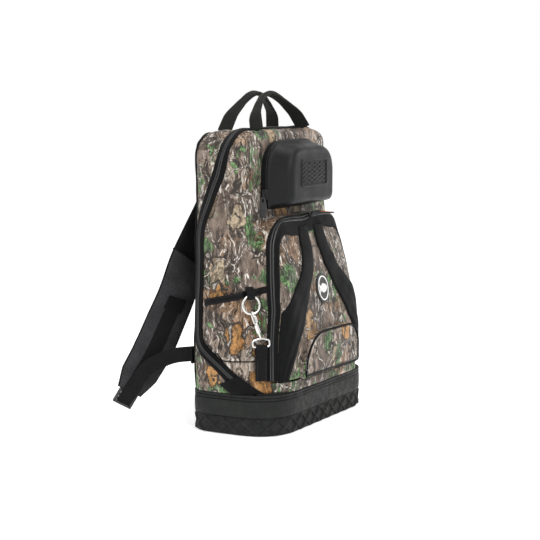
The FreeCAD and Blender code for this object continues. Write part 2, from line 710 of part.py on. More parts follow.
def strap_loop(point):
    """Webbing folded over the wire eye and hanging down, with a hollow fold at the top."""
    outline = [(-3.1, 3.1, 3), (3.1, 3.1, 3), (3.1, -8, 8), (1.6, -16, 8), (1.6, -56, 0), (-1.6, -56, 0),
               (-1.6, -16, 8), (-3.1, -8, 8)]
    fold = prism("StrapFold", "YZ", outline, "-Dims.webbing / 2 + 2.5", "Dims.webbing / 2 - 2.5")
    core = cylinder("FoldCore", 2.1, 40, V(-20, 0, 0))
    core.Placement.Rotation = FreeCAD.Rotation(V(0, 1, 0), 90)
    hook_piece(cut("TapeStrap", fold, core), "tape_strap", point, V(0, 0, 1), 0, True)


def make_hook():
    """Webbing tab with a ring, a snap hook, a wire eye and a webbing loop hanging from it."""
    tab_outer = prism("TabOuter", "YZ", [(-6.4, 220.4, 5), (7.6, 220.4, 1), (7.6, 241, 1), (5, 241, 1),
                                         (-6.4, 231, 5)], -7, 7)
    tab_slot = prism("TabSlot", "YZ", [(-5, 222.4, 2.6), (1.8, 222.4, 2.6), (1.8, 229.6, 2.6), (-5, 229.6, 2.6)],
                     -9, 9)
    loop = cut("TabLoop", tab_outer, tab_slot)
    loop.Placement = FreeCAD.Placement(V(*HOOK_POINT), FreeCAD.Rotation(V(0, 0, 1), HOOK_TURN)).multiply(
        FreeCAD.Placement(V(HOOK_SHIFT, 0, 0), FreeCAD.Rotation()))
    keep(cut("HookTab", loop, bag_block(4.5)), "hook_tab")
    radius = dim("ring_radius")
    centre = 212.5
    ring = doc.addObject("Part::Torus", "Ring")
    ring.setExpression("Radius1", "Dims.ring_radius")
    ring.setExpression("Radius2", "Dims.wire_radius")
    hook_piece(ring, "ring", V(HOOK_SHIFT, HOOK_OUT, centre), V(1, 0, 0), 90)
    top = V(HOOK_SHIFT, HOOK_OUT, centre - radius + 2.4)
    rod = round_bar("HookLoop", racetrack(4.6, 12), 1.7)
    barrel = cylinder("Barrel", 4.2, 13, V(0, 0, -34.5))
    neck = cylinder("Neck", 2.2, 7, V(0, 0, -25))
    hook_piece(fuse("SnapHook", rod, barrel, neck), "snap_hook", top, V(0, 1, 0), -HOOK_LEAN)
    thumb = prism("HookThumb", "YZ", [(-8.6, -17, 0.8), (-6.7, -17, 0.8), (-6.7, -6, 0.8), (-8.6, -6, 0.8)], -2, 2)
    hook_piece(thumb, "hook_thumb", top, V(0, 1, 0), -HOOK_LEAN)
    lean = math.radians(HOOK_LEAN)
    foot = top + V(math.sin(lean), 0, -math.cos(lean)) * 43.5
    eye = round_bar("WireEye", wire_frame(14.5, 4, 14), 1.7)
    post = cylinder("EyePost", 2, 9, V(0, 0, -0.5))
    post.Placement.Rotation = FreeCAD.Rotation(V(0, 1, 0), -HOOK_LEAN)
    hook_piece(fuse("Swivel", eye, post), "swivel_eye", foot, V(0, 0, 1), 0)
    strap_loop(foot - V(0, 0, 14))


def build():
    make_base()
    make_bag()
    make_back()
    make_front_pocket()
    make_case()
    make_side_pockets()
    make_handles()
    make_straps()
    make_sliders()
    make_hook()


def check_and_write():
    """Stops on any failed object or bad solid, then writes one STEP file per sub-part."""
    doc.recompute()
    for obj in doc.Objects:
        if "Invalid" in obj.State or "Error" in obj.State:
            raise RuntimeError("failed: %s %s" % (obj.Name, obj.State))
    os.makedirs("parts", exist_ok=True)
    for node in NODES:
        shape = node.Shape
        if shape.isNull() or not shape.isValid() or shape.Volume < 1:
            raise RuntimeError("bad shape: %s" % node.Label)
        print("%-22s solids %d volume %.0f" % (node.Label, len(shape.Solids), shape.Volume))
        shape.exportStep("parts/%s.step" % node.Label)


build()
check_and_write()
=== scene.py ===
import math

import bpy
import numpy as np
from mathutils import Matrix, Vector


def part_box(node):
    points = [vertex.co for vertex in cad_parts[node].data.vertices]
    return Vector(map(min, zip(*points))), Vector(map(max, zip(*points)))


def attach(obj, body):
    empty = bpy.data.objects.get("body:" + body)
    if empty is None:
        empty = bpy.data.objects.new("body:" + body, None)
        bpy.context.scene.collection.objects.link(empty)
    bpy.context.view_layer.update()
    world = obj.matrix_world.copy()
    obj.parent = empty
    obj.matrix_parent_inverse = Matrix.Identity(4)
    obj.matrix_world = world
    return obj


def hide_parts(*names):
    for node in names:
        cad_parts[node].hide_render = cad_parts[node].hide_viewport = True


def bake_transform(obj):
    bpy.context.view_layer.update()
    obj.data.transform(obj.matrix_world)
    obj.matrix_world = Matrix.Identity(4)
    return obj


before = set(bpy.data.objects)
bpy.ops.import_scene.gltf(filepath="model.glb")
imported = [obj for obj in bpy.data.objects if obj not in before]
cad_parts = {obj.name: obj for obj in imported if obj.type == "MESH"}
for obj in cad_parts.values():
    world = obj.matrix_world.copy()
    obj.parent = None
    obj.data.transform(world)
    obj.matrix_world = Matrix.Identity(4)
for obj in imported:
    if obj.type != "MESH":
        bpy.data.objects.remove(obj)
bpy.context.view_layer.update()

# Lengths below are in millimetres unless said otherwise; meshes are scaled to metres when made.
MM = 1000.0
SIDES = ((-1, "left"), (1, "right"))


def box_mm(node):
    """Lowest and highest corner of a CAD node in millimetres."""
    low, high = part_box(node)
    return np.array(low) * MM, np.array(high) * MM


# ---------------------------------------------------------------- materials

class Mat:
    """A node material with short helpers; every helper that adds a texture returns a socket."""

    def __init__(self, name, rough=0.7, metallic=0.0):
        self.material = bpy.data.materials.new(name)
        self.material.use_nodes = True
        self.tree = self.material.node_tree
        self.tree.nodes.clear()
        out = self.tree.nodes.new("ShaderNodeOutputMaterial")
        self.bsdf = self.tree.nodes.new("ShaderNodeBsdfPrincipled")
        self.tree.links.new(self.bsdf.outputs[0], out.inputs[0])
        self.set(Roughness=rough, Metallic=metallic)
        coords = self.tree.nodes.new("ShaderNodeTexCoord")
        self.place, self.uv = coords.outputs["Object"], coords.outputs["UV"]

    def put(self, socket, value):
        if isinstance(value, bpy.types.NodeSocket):
            self.tree.links.new(value, socket)
        elif isinstance(value, (tuple, list)) and socket.type == "RGBA":
            socket.default_value = (*value, 1.0) if len(value) == 3 else value
        else:
            socket.default_value = value

    def node(self, kind, **inputs):
        made = self.tree.nodes.new(kind)
        for name, value in inputs.items():
            self.put(made.inputs[name], value)
        return made

    def set(self, **values):
        """Values or sockets for the surface shader's inputs."""
        for name, value in values.items():
            self.put(self.bsdf.inputs[name.replace("_", " ")], value)

    def mapped(self, vector, scale=(1, 1, 1), turn=(0, 0, 0), move=(0, 0, 0)):
        return self.node("ShaderNodeMapping", Vector=vector, Scale=scale, Rotation=turn,
                         Location=move).outputs[0]

    def noise(self, vector, scale, detail=4.0, rough=0.55, distortion=0.0, colour=False):
        made = self.node("ShaderNodeTexNoise", Vector=vector, Scale=scale, Detail=detail,
                         Roughness=rough, Distortion=distortion)
        return made.outputs["Color" if colour else "Fac"]

    def voronoi(self, vector, scale, feature="F1", randomness=1.0):
        made = self.tree.nodes.new("ShaderNodeTexVoronoi")
        made.feature = feature
        self.put(made.inputs["Vector"], vector)
        made.inputs["Scale"].default_value = scale
        made.inputs["Randomness"].default_value = randomness
        return made

    def wave(self, vector, scale, distortion, direction):
        made = self.node("ShaderNodeTexWave", Vector=vector, Scale=scale, Distortion=distortion)
        made.bands_direction = direction
        return made.outputs["Fac"]

    def operate(self, kind, operation, a, b, second=1):
        """A math node of the given kind; second is the index or name of its second input."""
        made = self.tree.nodes.new(kind)
        made.operation = operation
        self.put(made.inputs[0], a)
        self.put(made.inputs[second], b)
        return made.outputs[0]

    def math(self, operation, a, b):
        return self.operate("ShaderNodeMath", operation, a, b)

    def shift(self, vector, scale, amount):
        """Vector pushed about by noise."""
        kind = "ShaderNodeVectorMath"
        push = self.noise(vector, scale, 3.0, colour=True)
        push = self.operate(kind, "SUBTRACT", push, (0.5, 0.5, 0.5))
        return self.operate(kind, "ADD", vector, self.operate(kind, "SCALE", push, amount, "Scale"))

    def ramp(self, fac, *stops):
        """Colours or grey levels against fac, linear between the stops."""
        made = self.node("ShaderNodeValToRGB", Fac=fac)
        elements = made.color_ramp.elements
        while len(elements) < len(stops):
            elements.new(0.5)
        for element, (place, colour) in zip(elements, stops):
            element.position = place
            element.color = (*(colour if isinstance(colour, tuple) else (colour,) * 3), 1.0)
        return made.outputs[0]

    def patches(self, vector, scale, detail, *stops, rough=0.55):
        """Noise cut into areas: a ramp over noise."""
        return self.ramp(self.noise(vector, scale, detail, rough), *stops)

    def mix(self, fac, a, b, blend="MIX"):
        made = self.tree.nodes.new("ShaderNodeMix")
        made.data_type = "RGBA"
        made.blend_type = blend
        for place, value in ((0, fac), (6, a), (7, b)):
            self.put(made.inputs[place], value)
        return made.outputs[2]

    def bump(self, height, strength, distance):
        made = self.node("ShaderNodeBump", Height=height, Strength=strength, Distance=distance)
        if self.bsdf.inputs["Normal"].is_linked:
            self.put(made.inputs["Normal"], self.bsdf.inputs["Normal"].links[0].from_socket)
        self.put(self.bsdf.inputs["Normal"], made.outputs[0])


def brighter(colour, factor, extra=0.0):
    return tuple(min(1.0, c * factor + extra) for c in colour)


DULL = 0.06  # specular level of matt cloth


def weave_height(mat, size):
    """Plain weave of two thread directions, threads of the given size in UV metres."""
    return mat.math("MAXIMUM", *(mat.wave(mat.uv, 0.5 / size * 0.318, 0.25, way) for way in "XY"))


def camo_material():
    """Woodland print: bark, twigs, leaves and needle sprays, all from noise."""
    mat = Mat("camo_fabric", rough=0.66)
    place = mat.place
    bent = mat.shift(place, 18, 0.035)
    wood = mat.noise(mat.mapped(bent, scale=(1.0, 1.0, 0.45)), 34, 8, 0.68)
    base = mat.ramp(wood, (0.34, (0.022, 0.016, 0.012)), (0.44, (0.080, 0.059, 0.046)),
                    (0.52, (0.175, 0.130, 0.101)), (0.61, (0.29, 0.228, 0.182)),
                    (0.72, (0.47, 0.40, 0.335)))
    pale_area = mat.patches(mat.shift(place, 40, 0.03), 8.5, 3, (0.535, 0.0), (0.57, 0.75),
                            rough=0.5)
    base = mat.mix(pale_area, base, mat.mix(0.45, base, (0.56, 0.47, 0.37)))
    rust_area = mat.patches(mat.mapped(mat.shift(place, 60, 0.03), move=(5, 2, 1)), 12, 3,
                            (0.575, 0.0), (0.60, 0.8), rough=0.5)
    base = mat.mix(rust_area, base, mat.mix(0.5, base, (0.34, 0.17, 0.06)))
    shade = mat.patches(mat.mapped(place, scale=(1.0, 1.0, 0.5)), 11, 3, (0.36, 0.0), (0.60, 1.0))
    base = mat.mix(shade, mat.mix(0.55, base, (0.045, 0.031, 0.024)), base)
    # Bark: upright strokes, dark in the cracks and pale on the ridges.
    rough_area = mat.patches(place, 9, 3, (0.38, 0.0), (0.48, 1.0))
    bark = mat.noise(mat.mapped(bent, scale=(1.0, 1.0, 0.24)), 120, 6, 0.72, 1.2)
    for colour, stops in (((0.018, 0.013, 0.010), ((0.42, 1.0), (0.49, 0.0))),
                          ((0.56, 0.53, 0.48), ((0.555, 0.0), (0.60, 1.0)))):
        base = mat.mix(mat.math("MULTIPLY", mat.ramp(bark, *stops), rough_area), base, colour)
    # Needle sprays: fine green streaks in three directions inside small patches.
    spray = mat.patches(mat.shift(place, 50, 0.02), 15, 3, (0.555, 0.0), (0.575, 1.0), rough=0.6)
    greens = mat.mix(0.72, base, (0.010, 0.018, 0.008))
    for turn, seed in ((0.55, 0.0), (-0.65, 3.1), (1.25, 7.7)):
        along = mat.mapped(place, scale=(1.0, 1.0, 0.07), turn=(turn, turn * 0.8, 0),
                           move=(seed, 0, 0))
        lines = mat.patches(along, 330, 2, (0.555, 0.0), (0.59, 1.0), rough=0.5)
        tone = mat.mix(mat.patches(place, 120, 2, (0.4, 0.0), (0.6, 1.0)), (0.022, 0.062, 0.018),
                       (0.14, 0.25, 0.10))
        greens = mat.mix(lines, greens, tone)
    base = mat.mix(spray, base, greens)
    # Leaves: ragged stretched cells, orange-brown, tan or dark, with a dark outline and veins.
    for turn, scale, move in (((0.4, 0.5, 0.6), 17, 0.0), ((-0.8, 0.3, -0.5), 24, 4.3)):
        ragged = mat.shift(mat.shift(place, 55, 0.022), 160, 0.006)
        leaf_place = mat.mapped(ragged, scale=(1.0, 1.0, 0.6), turn=turn, move=(move, move, 0))
        cells = mat.voronoi(leaf_place, scale)
        pick = mat.node("ShaderNodeSeparateColor", Color=cells.outputs["Color"])
        reach = cells.outputs["Distance"]
        inside = mat.ramp(reach, (0.40, 1.0), (0.42, 0.0))
        chosen = mat.ramp(pick.outputs[0], (0.66, 0.0), (0.67, 1.0))
        hue = mat.ramp(pick.outputs[1], (0.0, (0.30, 0.135, 0.035)), (0.3, (0.40, 0.215, 0.075)),
                       (0.5, (0.36, 0.29, 0.20)), (0.75, (0.075, 0.05, 0.032)),
                       (1.0, (0.50, 0.45, 0.38)))
        grain = mat.noise(mat.mapped(leaf_place, scale=(1, 1, 0.22)), 150, 5, 0.7)
        for source, stops, colour in ((grain, ((0.44, 0.75), (0.53, 0.0)), (0.035, 0.02, 0.012)),
                                      (grain, ((0.60, 0.0), (0.68, 0.5)), (0.62, 0.50, 0.34)),
                                      (reach, ((0.355, 0.0), (0.385, 1.0)), (0.022, 0.015, 0.010))):
            hue = mat.mix(mat.ramp(source, *stops), hue, colour)
        base = mat.mix(mat.math("MULTIPLY", inside, chosen), base, hue)
    # Twigs: pale branches with dark edges, and thin dark lines, along bent cell borders.
    for scale, amount, wide in ((11, 0.05, 0.022), (23, 0.03, 0.015)):
        edges = mat.voronoi(mat.shift(mat.mapped(place, scale=(1, 1, 0.7)), 26, amount), scale,
                            "DISTANCE_TO_EDGE").outputs["Distance"]
        gate = mat.noise(mat.mapped(place, move=(scale, 0, 0)), 20, 2)
        near = mat.math("MULTIPLY", mat.ramp(edges, (wide * 1.5, 1.0), (wide * 2.0, 0.0)),
                        mat.ramp(gate, (0.48, 0.0), (0.50, 1.0)))
        pale = mat.math("MULTIPLY", mat.ramp(edges, (wide * 0.8, 1.0), (wide, 0.0)),
                        mat.ramp(gate, (0.52, 0.0), (0.56, 1.0)))
        tone = mat.patches(place, 240, 4, (0.44, (0.10, 0.08, 0.065)), (0.58, (0.52, 0.48, 0.43)),
                           rough=0.7)
        base = mat.mix(near, base, (0.025, 0.019, 0.015))
        base = mat.mix(pale, base, tone)
    speck = mat.patches(place, 520, 3, (0.30, 0.30), (0.70, 0.72), rough=0.7)
    mat.set(Base_Color=mat.mix(0.6, base, speck, "OVERLAY"), Sheen_Weight=0.06,
            Roughness=mat.patches(place, 35, 3, (0.3, 0.56), (0.7, 0.76)), Specular_IOR_Level=0.3)
    mat.bump(weave_height(mat, 0.0008), 0.25, 0.0002)
    mat.bump(mat.noise(place, 45, 4, 0.6), 0.35, 0.0016)
    return mat.material


def cloth_material(name, colour, light, size=0.0012, rough=0.78):
    """Woven cloth: two thread directions, wear and small creases."""
    mat = Mat(name, rough=rough)
    tone = mat.mix(mat.noise(mat.place, 18, 4, 0.6), colour, light)
    threads = weave_height(mat, size)
    tone = mat.mix(mat.math("MULTIPLY", threads, 0.35), tone, light)
    worn = mat.patches(mat.place, 300, 3, (0.52, 0.0), (0.75, 0.35), rough=0.7)
    gloss = mat.patches(mat.place, 60, 3, (0.3, rough - 0.1), (0.7, min(1.0, rough + 0.1)))
    mat.set(Base_Color=mat.mix(worn, tone, brighter(light, 1.9)), Roughness=gloss,
            Sheen_Weight=0.05, Specular_IOR_Level=DULL)
    mat.bump(threads, 0.35, 0.0003)
    mat.bump(mat.noise(mat.place, 55, 4, 0.6), 0.3, 0.0015)
    return mat.material


def webbing_material(name, colour, light):
    """Ribbed webbing: chevron ribs across the band, UV metres along it."""
    mat = Mat(name, rough=0.72)
    ribs = mat.math("MAXIMUM", *(mat.wave(mat.mapped(mat.uv, turn=(0, 0, turn)), 150, 0.0, "X")
                                 for turn in (0.6, -0.6)))
    worn = mat.patches(mat.place, 260, 3, (0.5, 0.0), (0.8, 0.4), rough=0.7)
    mat.set(Base_Color=mat.mix(worn, mat.mix(ribs, colour, light), brighter(light, 2)),
            Sheen_Weight=0.04, Specular_IOR_Level=DULL)
    mat.bump(ribs, 0.45, 0.0004)
    return mat.material


def mesh_material(name, colour, light):
    """Spacer mesh: small open cells over foam."""
    mat = Mat(name, rough=0.85)
    cells = mat.voronoi(mat.uv, 520, "F1", 0.25).outputs["Distance"]
    tone = mat.ramp(cells, (0.25, brighter(colour, 0.25)), (0.42, light))
    mat.set(Base_Color=mat.mix(mat.noise(mat.place, 30, 3), tone, colour), Sheen_Weight=0.04,
            Specular_IOR_Level=DULL)
    mat.bump(cells, 0.6, 0.0005)
    return mat.material


def rubber_material():
    """Black rubber with scuffs and dust."""
    mat = Mat("base_rubber", rough=0.62)
    place = mat.place
    tone = mat.mix(mat.noise(place, 14, 5, 0.6), (0.0045, 0.0052, 0.0047), (0.012, 0.0135, 0.012))
    scuff = mat.patches(mat.mapped(place, scale=(1, 1, 3)), 70, 6, (0.55, 0.0), (0.75, 0.5),
                        rough=0.75)
    tone = mat.mix(scuff, tone, (0.036, 0.038, 0.035))
    dust = mat.math("MULTIPLY", mat.patches(place, 220, 4, (0.5, 0.0), (0.7, 0.4), rough=0.8),
                    mat.patches(place, 9, 2, (0.45, 0.0), (0.65, 1.0)))
    mat.set(Base_Color=mat.mix(dust, tone, (0.12, 0.118, 0.105)), Specular_IOR_Level=0.2,
            Roughness=mat.patches(place, 90, 4, (0.3, 0.48), (0.7, 0.74)))
    mat.bump(mat.noise(place, 900, 3, 0.7), 0.35, 0.0003)
    return mat.material


def shell_material():
    """Moulded case: fine leather grain, soft sheen and light handling marks."""
    mat = Mat("case_shell", rough=0.5)
    place = mat.place
    cells = mat.voronoi(mat.shift(place, 300, 0.002), 620, "DISTANCE_TO_EDGE").outputs["Distance"]
    tone = mat.mix(mat.noise(place, 25, 5), (0.0016, 0.0017, 0.002), (0.004, 0.0042, 0.0048))
    marks = mat.patches(place, 160, 5, (0.56, 0.0), (0.8, 0.4), rough=0.75)
    mat.set(Base_Color=mat.mix(marks, tone, (0.016, 0.016, 0.0175)), Specular_IOR_Level=0.22,
            Roughness=mat.patches(place, 40, 3, (0.3, 0.34), (0.7, 0.5)))
    mat.bump(mat.ramp(cells, (0.0, 0.0), (0.12, 1.0)), 0.35, 0.0002)
    return mat.material


def hard_material(name, dark, light, rough, metallic=0.0):
    """Moulded plastic or metal with fine scratches and uneven gloss."""
    mat = Mat(name, rough=rough, metallic=metallic)
    place = mat.place
    tone = mat.mix(mat.noise(place, 60, 4), dark, light)
    lines = mat.noise(mat.mapped(place, scale=(1, 0.08, 1), turn=(0.3, 0.2, 0.7)), 900, 3, 0.6)
    scratches = mat.ramp(lines, (0.56, 0.0), (0.66, 0.3))
    gloss = mat.patches(place, 120, 4, (0.3, max(0.05, rough - 0.08)), (0.7, rough + 0.12))
    mat.set(Base_Color=mat.mix(scratches, tone, brighter(light, 1.6, 0.02)), Roughness=gloss)
    mat.bump(lines, 0.08, 0.0002)
    return mat.material


CAMO = camo_material()
BLACK = cloth_material("black_fabric", (0.002, 0.0021, 0.0023), (0.0068, 0.007, 0.0076))
TAPE = cloth_material("zip_tape", (0.002, 0.002, 0.0022), (0.0065, 0.0065, 0.007), 0.0009, 0.82)
LINING = cloth_material("lining", (0.50, 0.13, 0.012), (0.66, 0.22, 0.03), 0.001, 0.8)
PAD = mesh_material("mesh_pad", (0.017, 0.017, 0.018), (0.058, 0.058, 0.061))
STRAP_CLOTH = cloth_material("strap_fabric", (0.0022, 0.0022, 0.0024), (0.0085, 0.0085, 0.009),
                             0.0014)
WEB = webbing_material("webbing", (0.0018, 0.0018, 0.002), (0.0085, 0.0085, 0.009))
GRIP = webbing_material("handle_webbing", (0.0038, 0.004, 0.0034), (0.017, 0.0172, 0.0150))
RUBBER = rubber_material()
SHELL = shell_material()
PLASTIC = hard_material("black_plastic", (0.006, 0.006, 0.0065), (0.015, 0.015, 0.016), 0.42)
METAL = hard_material("dark_metal", (0.03, 0.03, 0.032), (0.07, 0.07, 0.075), 0.38, 0.8)
NICKEL = hard_material("nickel", (0.55, 0.545, 0.52), (0.78, 0.77, 0.74), 0.22, 1.0)
PULL = hard_material("pull_rubber", (0.014, 0.014, 0.015), (0.04, 0.04, 0.042), 0.6)
ORANGE = hard_material("orange_accent", (0.55, 0.12, 0.01), (0.72, 0.2, 0.02), 0.5)
THREAD = cloth_material("pale_thread", (0.30, 0.29, 0.27), (0.55, 0.53, 0.50), 0.0005, 0.8)
DARK_THREAD = cloth_material("dark_thread", (0.025, 0.025, 0.025), (0.07, 0.07, 0.07), 0.0005, 0.8)
WHITE = hard_material("badge_white", (0.60, 0.60, 0.58), (0.80, 0.80, 0.78), 0.45)
BOARD = hard_material("board", (0.004, 0.004, 0.004), (0.012, 0.012, 0.012), 0.75)


# ---------------------------------------------------------------- meshes

def make_mesh(name, points, faces, body, materials, slot=None, node=None, smooth=True, uv=None):
    """Mesh in metres that rides on a CAD body; node names the CAD node that it stands for."""
    mesh = bpy.data.meshes.new(name)
    mesh.from_pydata((np.asarray(points, float) / MM).tolist(), [],
                     [tuple(int(i) for i in f) for f in faces])
    if uv is not None:
        layer = mesh.uv_layers.new(name="UVMap")
        loops = np.zeros(len(mesh.loops), np.int64)
        mesh.loops.foreach_get("vertex_index", loops)
        layer.data.foreach_set("uv", (uv[loops] / MM).astype(np.float32).ravel())
    if smooth:
        mesh.polygons.foreach_set("use_smooth", [True] * len(mesh.polygons))
    obj = bpy.data.objects.new(name, mesh)
    bpy.context.scene.collection.objects.link(obj)
    for material in materials if isinstance(materials, list) else [materials]:
        mesh.materials.append(material)
    if body:
        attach(obj, body)
    if node:
        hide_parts(node)
    return obj


def unit(vectors):
    """Vectors along the last axis, scaled to length one."""
    return vectors / np.maximum(np.linalg.norm(vectors, axis=-1, keepdims=True), 1e-12)


def run_lengths(points):
    """Distance run along a line of points, from 0."""
    return np.concatenate([[0], np.cumsum(np.linalg.norm(np.diff(points, axis=0), axis=1))])


def vectors(x, y, z):
    """Vectors from components of different shapes."""
    return np.stack(np.broadcast_arrays(x, y, z), -1)


def grid_faces(rows, cols, wrap=False, keep=None):
    """Quads of a rows by cols grid; keep is a mask of the faces wanted."""
    i, j = np.meshgrid(np.arange(rows - 1), np.arange(cols if wrap else cols - 1), indexing="ij")
    k = (j + 1) % cols
    corners = [i * cols + j, i * cols + k, (i + 1) * cols + k, (i + 1) * cols + j]
    quads = np.stack(corners, -1).reshape(-1, 4)
    return quads if keep is None else quads[np.asarray(keep).ravel()]


def grid_uv(grid):
    """UV lengths of a grid, measured along its rows and columns."""
    along = np.linalg.norm(np.diff(grid, axis=1), axis=2)
    up = np.linalg.norm(np.diff(grid, axis=0), axis=2)
    u = np.concatenate([np.zeros((grid.shape[0], 1)), np.cumsum(along, 1)], 1)
    u -= u[:, [grid.shape[1] // 2]]
    v = np.concatenate([np.zeros((1, grid.shape[1])), np.cumsum(up, 0)], 0)
    return np.stack([u, v], -1).reshape(-1, 2)


def ring_mesh(name, rings, body, material, wrap=True, flip=False, mapped=True, **more):
    """Mesh through rings of points, or through open rows without wrap."""
    grid = np.stack(rings)
    faces = grid_faces(*grid.shape[:2], wrap)
    return make_mesh(name, grid.reshape(-1, 3), faces[:, ::-1] if flip else faces, body, material,
                     uv=grid_uv(grid) if mapped else None, **more)


def drop_loose(points, faces, uv):
    """Only the points that a face uses."""
    used = np.unique(faces)
    index = np.full(len(points), -1)
    index[used] = np.arange(len(used))
    return points[used], index[faces], uv[used]


def sheet_mesh(name, grid, body, materials, thick=1.6, wrap=False, keep=None, flip=False,
               lining=None, **more):
    """Cloth sheet from a grid of points, thickened inwards."""
    faces = grid_faces(*grid.shape[:2], wrap, keep)
    if flip:
        faces = faces[:, ::-1]
    points, faces, uv = drop_loose(grid.reshape(-1, 3), faces, grid_uv(grid))
    obj = make_mesh(name, points, faces, body, materials, uv=uv, **more)
    modifier = obj.modifiers.new("thick", "SOLIDIFY")
    modifier.thickness = thick / MM
    modifier.offset = -1
    modifier.use_even_offset = False
    if lining is not None:
        obj.data.materials.append(lining)
        modifier.material_offset = len(obj.data.materials) - 1
    return obj


def tube(name, path, radius, body, material, sides=10, closed=False, **more):
    """Round bar along a path."""
    path = np.asarray(path, float)
    if closed:
        run = unit(np.roll(path, -1, 0) - np.roll(path, 1, 0))
    else:
        run = unit(np.concatenate([path[1:], path[-1:]]) - np.concatenate([path[:1], path[:-1]]))
    normal = np.cross(run[0], [0.3, 0.2, 0.93])  # any direction that no path here starts in
    normals = []
    for tangent in run:
        normal = unit(normal - tangent * normal.dot(tangent))
        normals.append(normal)
    normals = np.array(normals)
    angle = np.linspace(0, 2 * np.pi, sides, endpoint=False)[None, :, None]
    ring = normals[:, None] * np.cos(angle) + np.cross(run, normals)[:, None] * np.sin(angle)
    grid = path[:, None] + ring * radius
    if closed:
        grid = np.concatenate([grid, grid[:1]])
    faces = grid_faces(grid.shape[0], sides, True).tolist()
    if not closed:
        last = (grid.shape[0] - 1) * sides
        faces += [list(range(sides))[::-1], [last + i for i in range(sides)]]
    return make_mesh(name, grid.reshape(-1, 3), faces, body, material, uv=grid_uv(grid), **more)


# ---------------------------------------------------------------- the bag's outer form

BASE_LOW, BASE_HIGH = box_mm("moulded_base")
RIM = BASE_HIGH[2]
TOP = box_mm("rear_shell")[1][2]
BACK = box_mm("rear_shell")[1][1]
STATIONS = np.arange(40, 505, 2.5)


def softened(values, reach):
    """Values smoothed over reach places each way, with the ends held."""
    kernel = np.hanning(2 * reach + 1)
    kernel /= kernel.sum()
    padded = np.concatenate([np.full(reach, values[0]), values, np.full(reach, values[-1])])
    return np.convolve(padded, kernel, "valid")


def profile(levels, *tables):
    """Tables against height, linear between levels and softened at the kinks."""
    return [softened(np.interp(STATIONS, levels, values), 8) for values in tables]


# Half width, front and corner radius against height.
BAG = profile((40, 180, 360, 495), (177, 177, 168, 168), (-67, -46, -7, -4), (65, 65, 42, 40))
POCKET = profile((40, 157, 212, 260, 360), (152, 150.7, 147.6, 138, 118),
                 (-84.5, -83, -76, -67, -42), (52, 52, 50, 46, 40))
POCKET_TOP = 347.0
BACK_ROUND = 40.0  # the bag's corner radius at the back


def plan(form, z):
    """Half width, front and corner radius of a form at heights z."""
    return [np.interp(z, STATIONS, table) for table in form]


def soft_max(a, b, k):
    """Larger of two distances, rounded over k where they meet."""
    h = np.clip(k - np.abs(a - b), 0, None) / k
    return np.maximum(a, b) + h * h * k * 0.25


def corner_distance(u, v, r):
    """Distance outside a rounded corner whose sides are at u = 0 and v = 0."""
    qu, qv = u + r, v + r
    beyond = np.hypot(np.clip(qu, 0, None), np.clip(qv, 0, None))
    return beyond + np.minimum(np.maximum(qu, qv), 0) - r


def bag_distance(p):
    """Distance outside the bag's form."""
    x, y, z = np.abs(p[..., 0]), p[..., 1], p[..., 2]
    wide, front, turn = plan(BAG, z)
    before = corner_distance(x - wide, front - y, turn)
    after = corner_distance(x - wide, y - BACK, BACK_ROUND)
    side = np.where(y < (front + BACK) / 2, before, after)
    shoulder = corner_distance(x - wide - 0.3, z - TOP, 78.0)
    back_top = corner_distance(y - BACK, z - TOP, 30.0)
    front_top = corner_distance(front - y, z - TOP, 16.0)
    return soft_max(soft_max(side, shoulder, 5), np.maximum(back_top, front_top), 5)


def pocket_distance(p):
    """Distance outside the front pocket's form."""
    x, y, z = np.abs(p[..., 0]), p[..., 1], p[..., 2]
    wide, front, turn = plan(POCKET, z)
    side = corner_distance(x - wide, front - y, turn)
    shoulder = corner_distance(x - wide - 0.4, z - POCKET_TOP, 66.0)
    front_top = corner_distance(front - y, z - POCKET_TOP, 14.0)
    return soft_max(soft_max(side, shoulder, 4), front_top, 4)


RNG = np.random.default_rng(7)
WAVES = [(RNG.normal(size=3), RNG.uniform(0, 6.28), RNG.uniform(0.6, 1.0)) for _ in range(26)]


def ripple(p, length, seed=0):
    """Smooth undulation of about unit size and the given wavelength."""
    total = np.zeros(p.shape[:-1])
    for number, (direction, phase, size) in enumerate(WAVES):
        along = p @ (direction / np.linalg.norm(direction))
        turns = along * (2 * np.pi / length) * (0.7 + 0.05 * number)
        total += size * np.sin(turns + phase + seed)
    return total / 4.0


def solve(distance, origin, direction, grow, reach=320):
    """Points where rays leave the form grown by grow, which is a function of the point."""
    low = np.zeros(origin.shape[:-1])
    high = np.full(origin.shape[:-1], float(reach))
    for _ in range(26):
        middle = (low + high) / 2
        p = origin + direction * middle[..., None]
        outside = distance(p) - grow(p) > 0
        high = np.where(outside, middle, high)
        low = np.where(outside, low, middle)
    return origin + direction * ((low + high) / 2)[..., None]


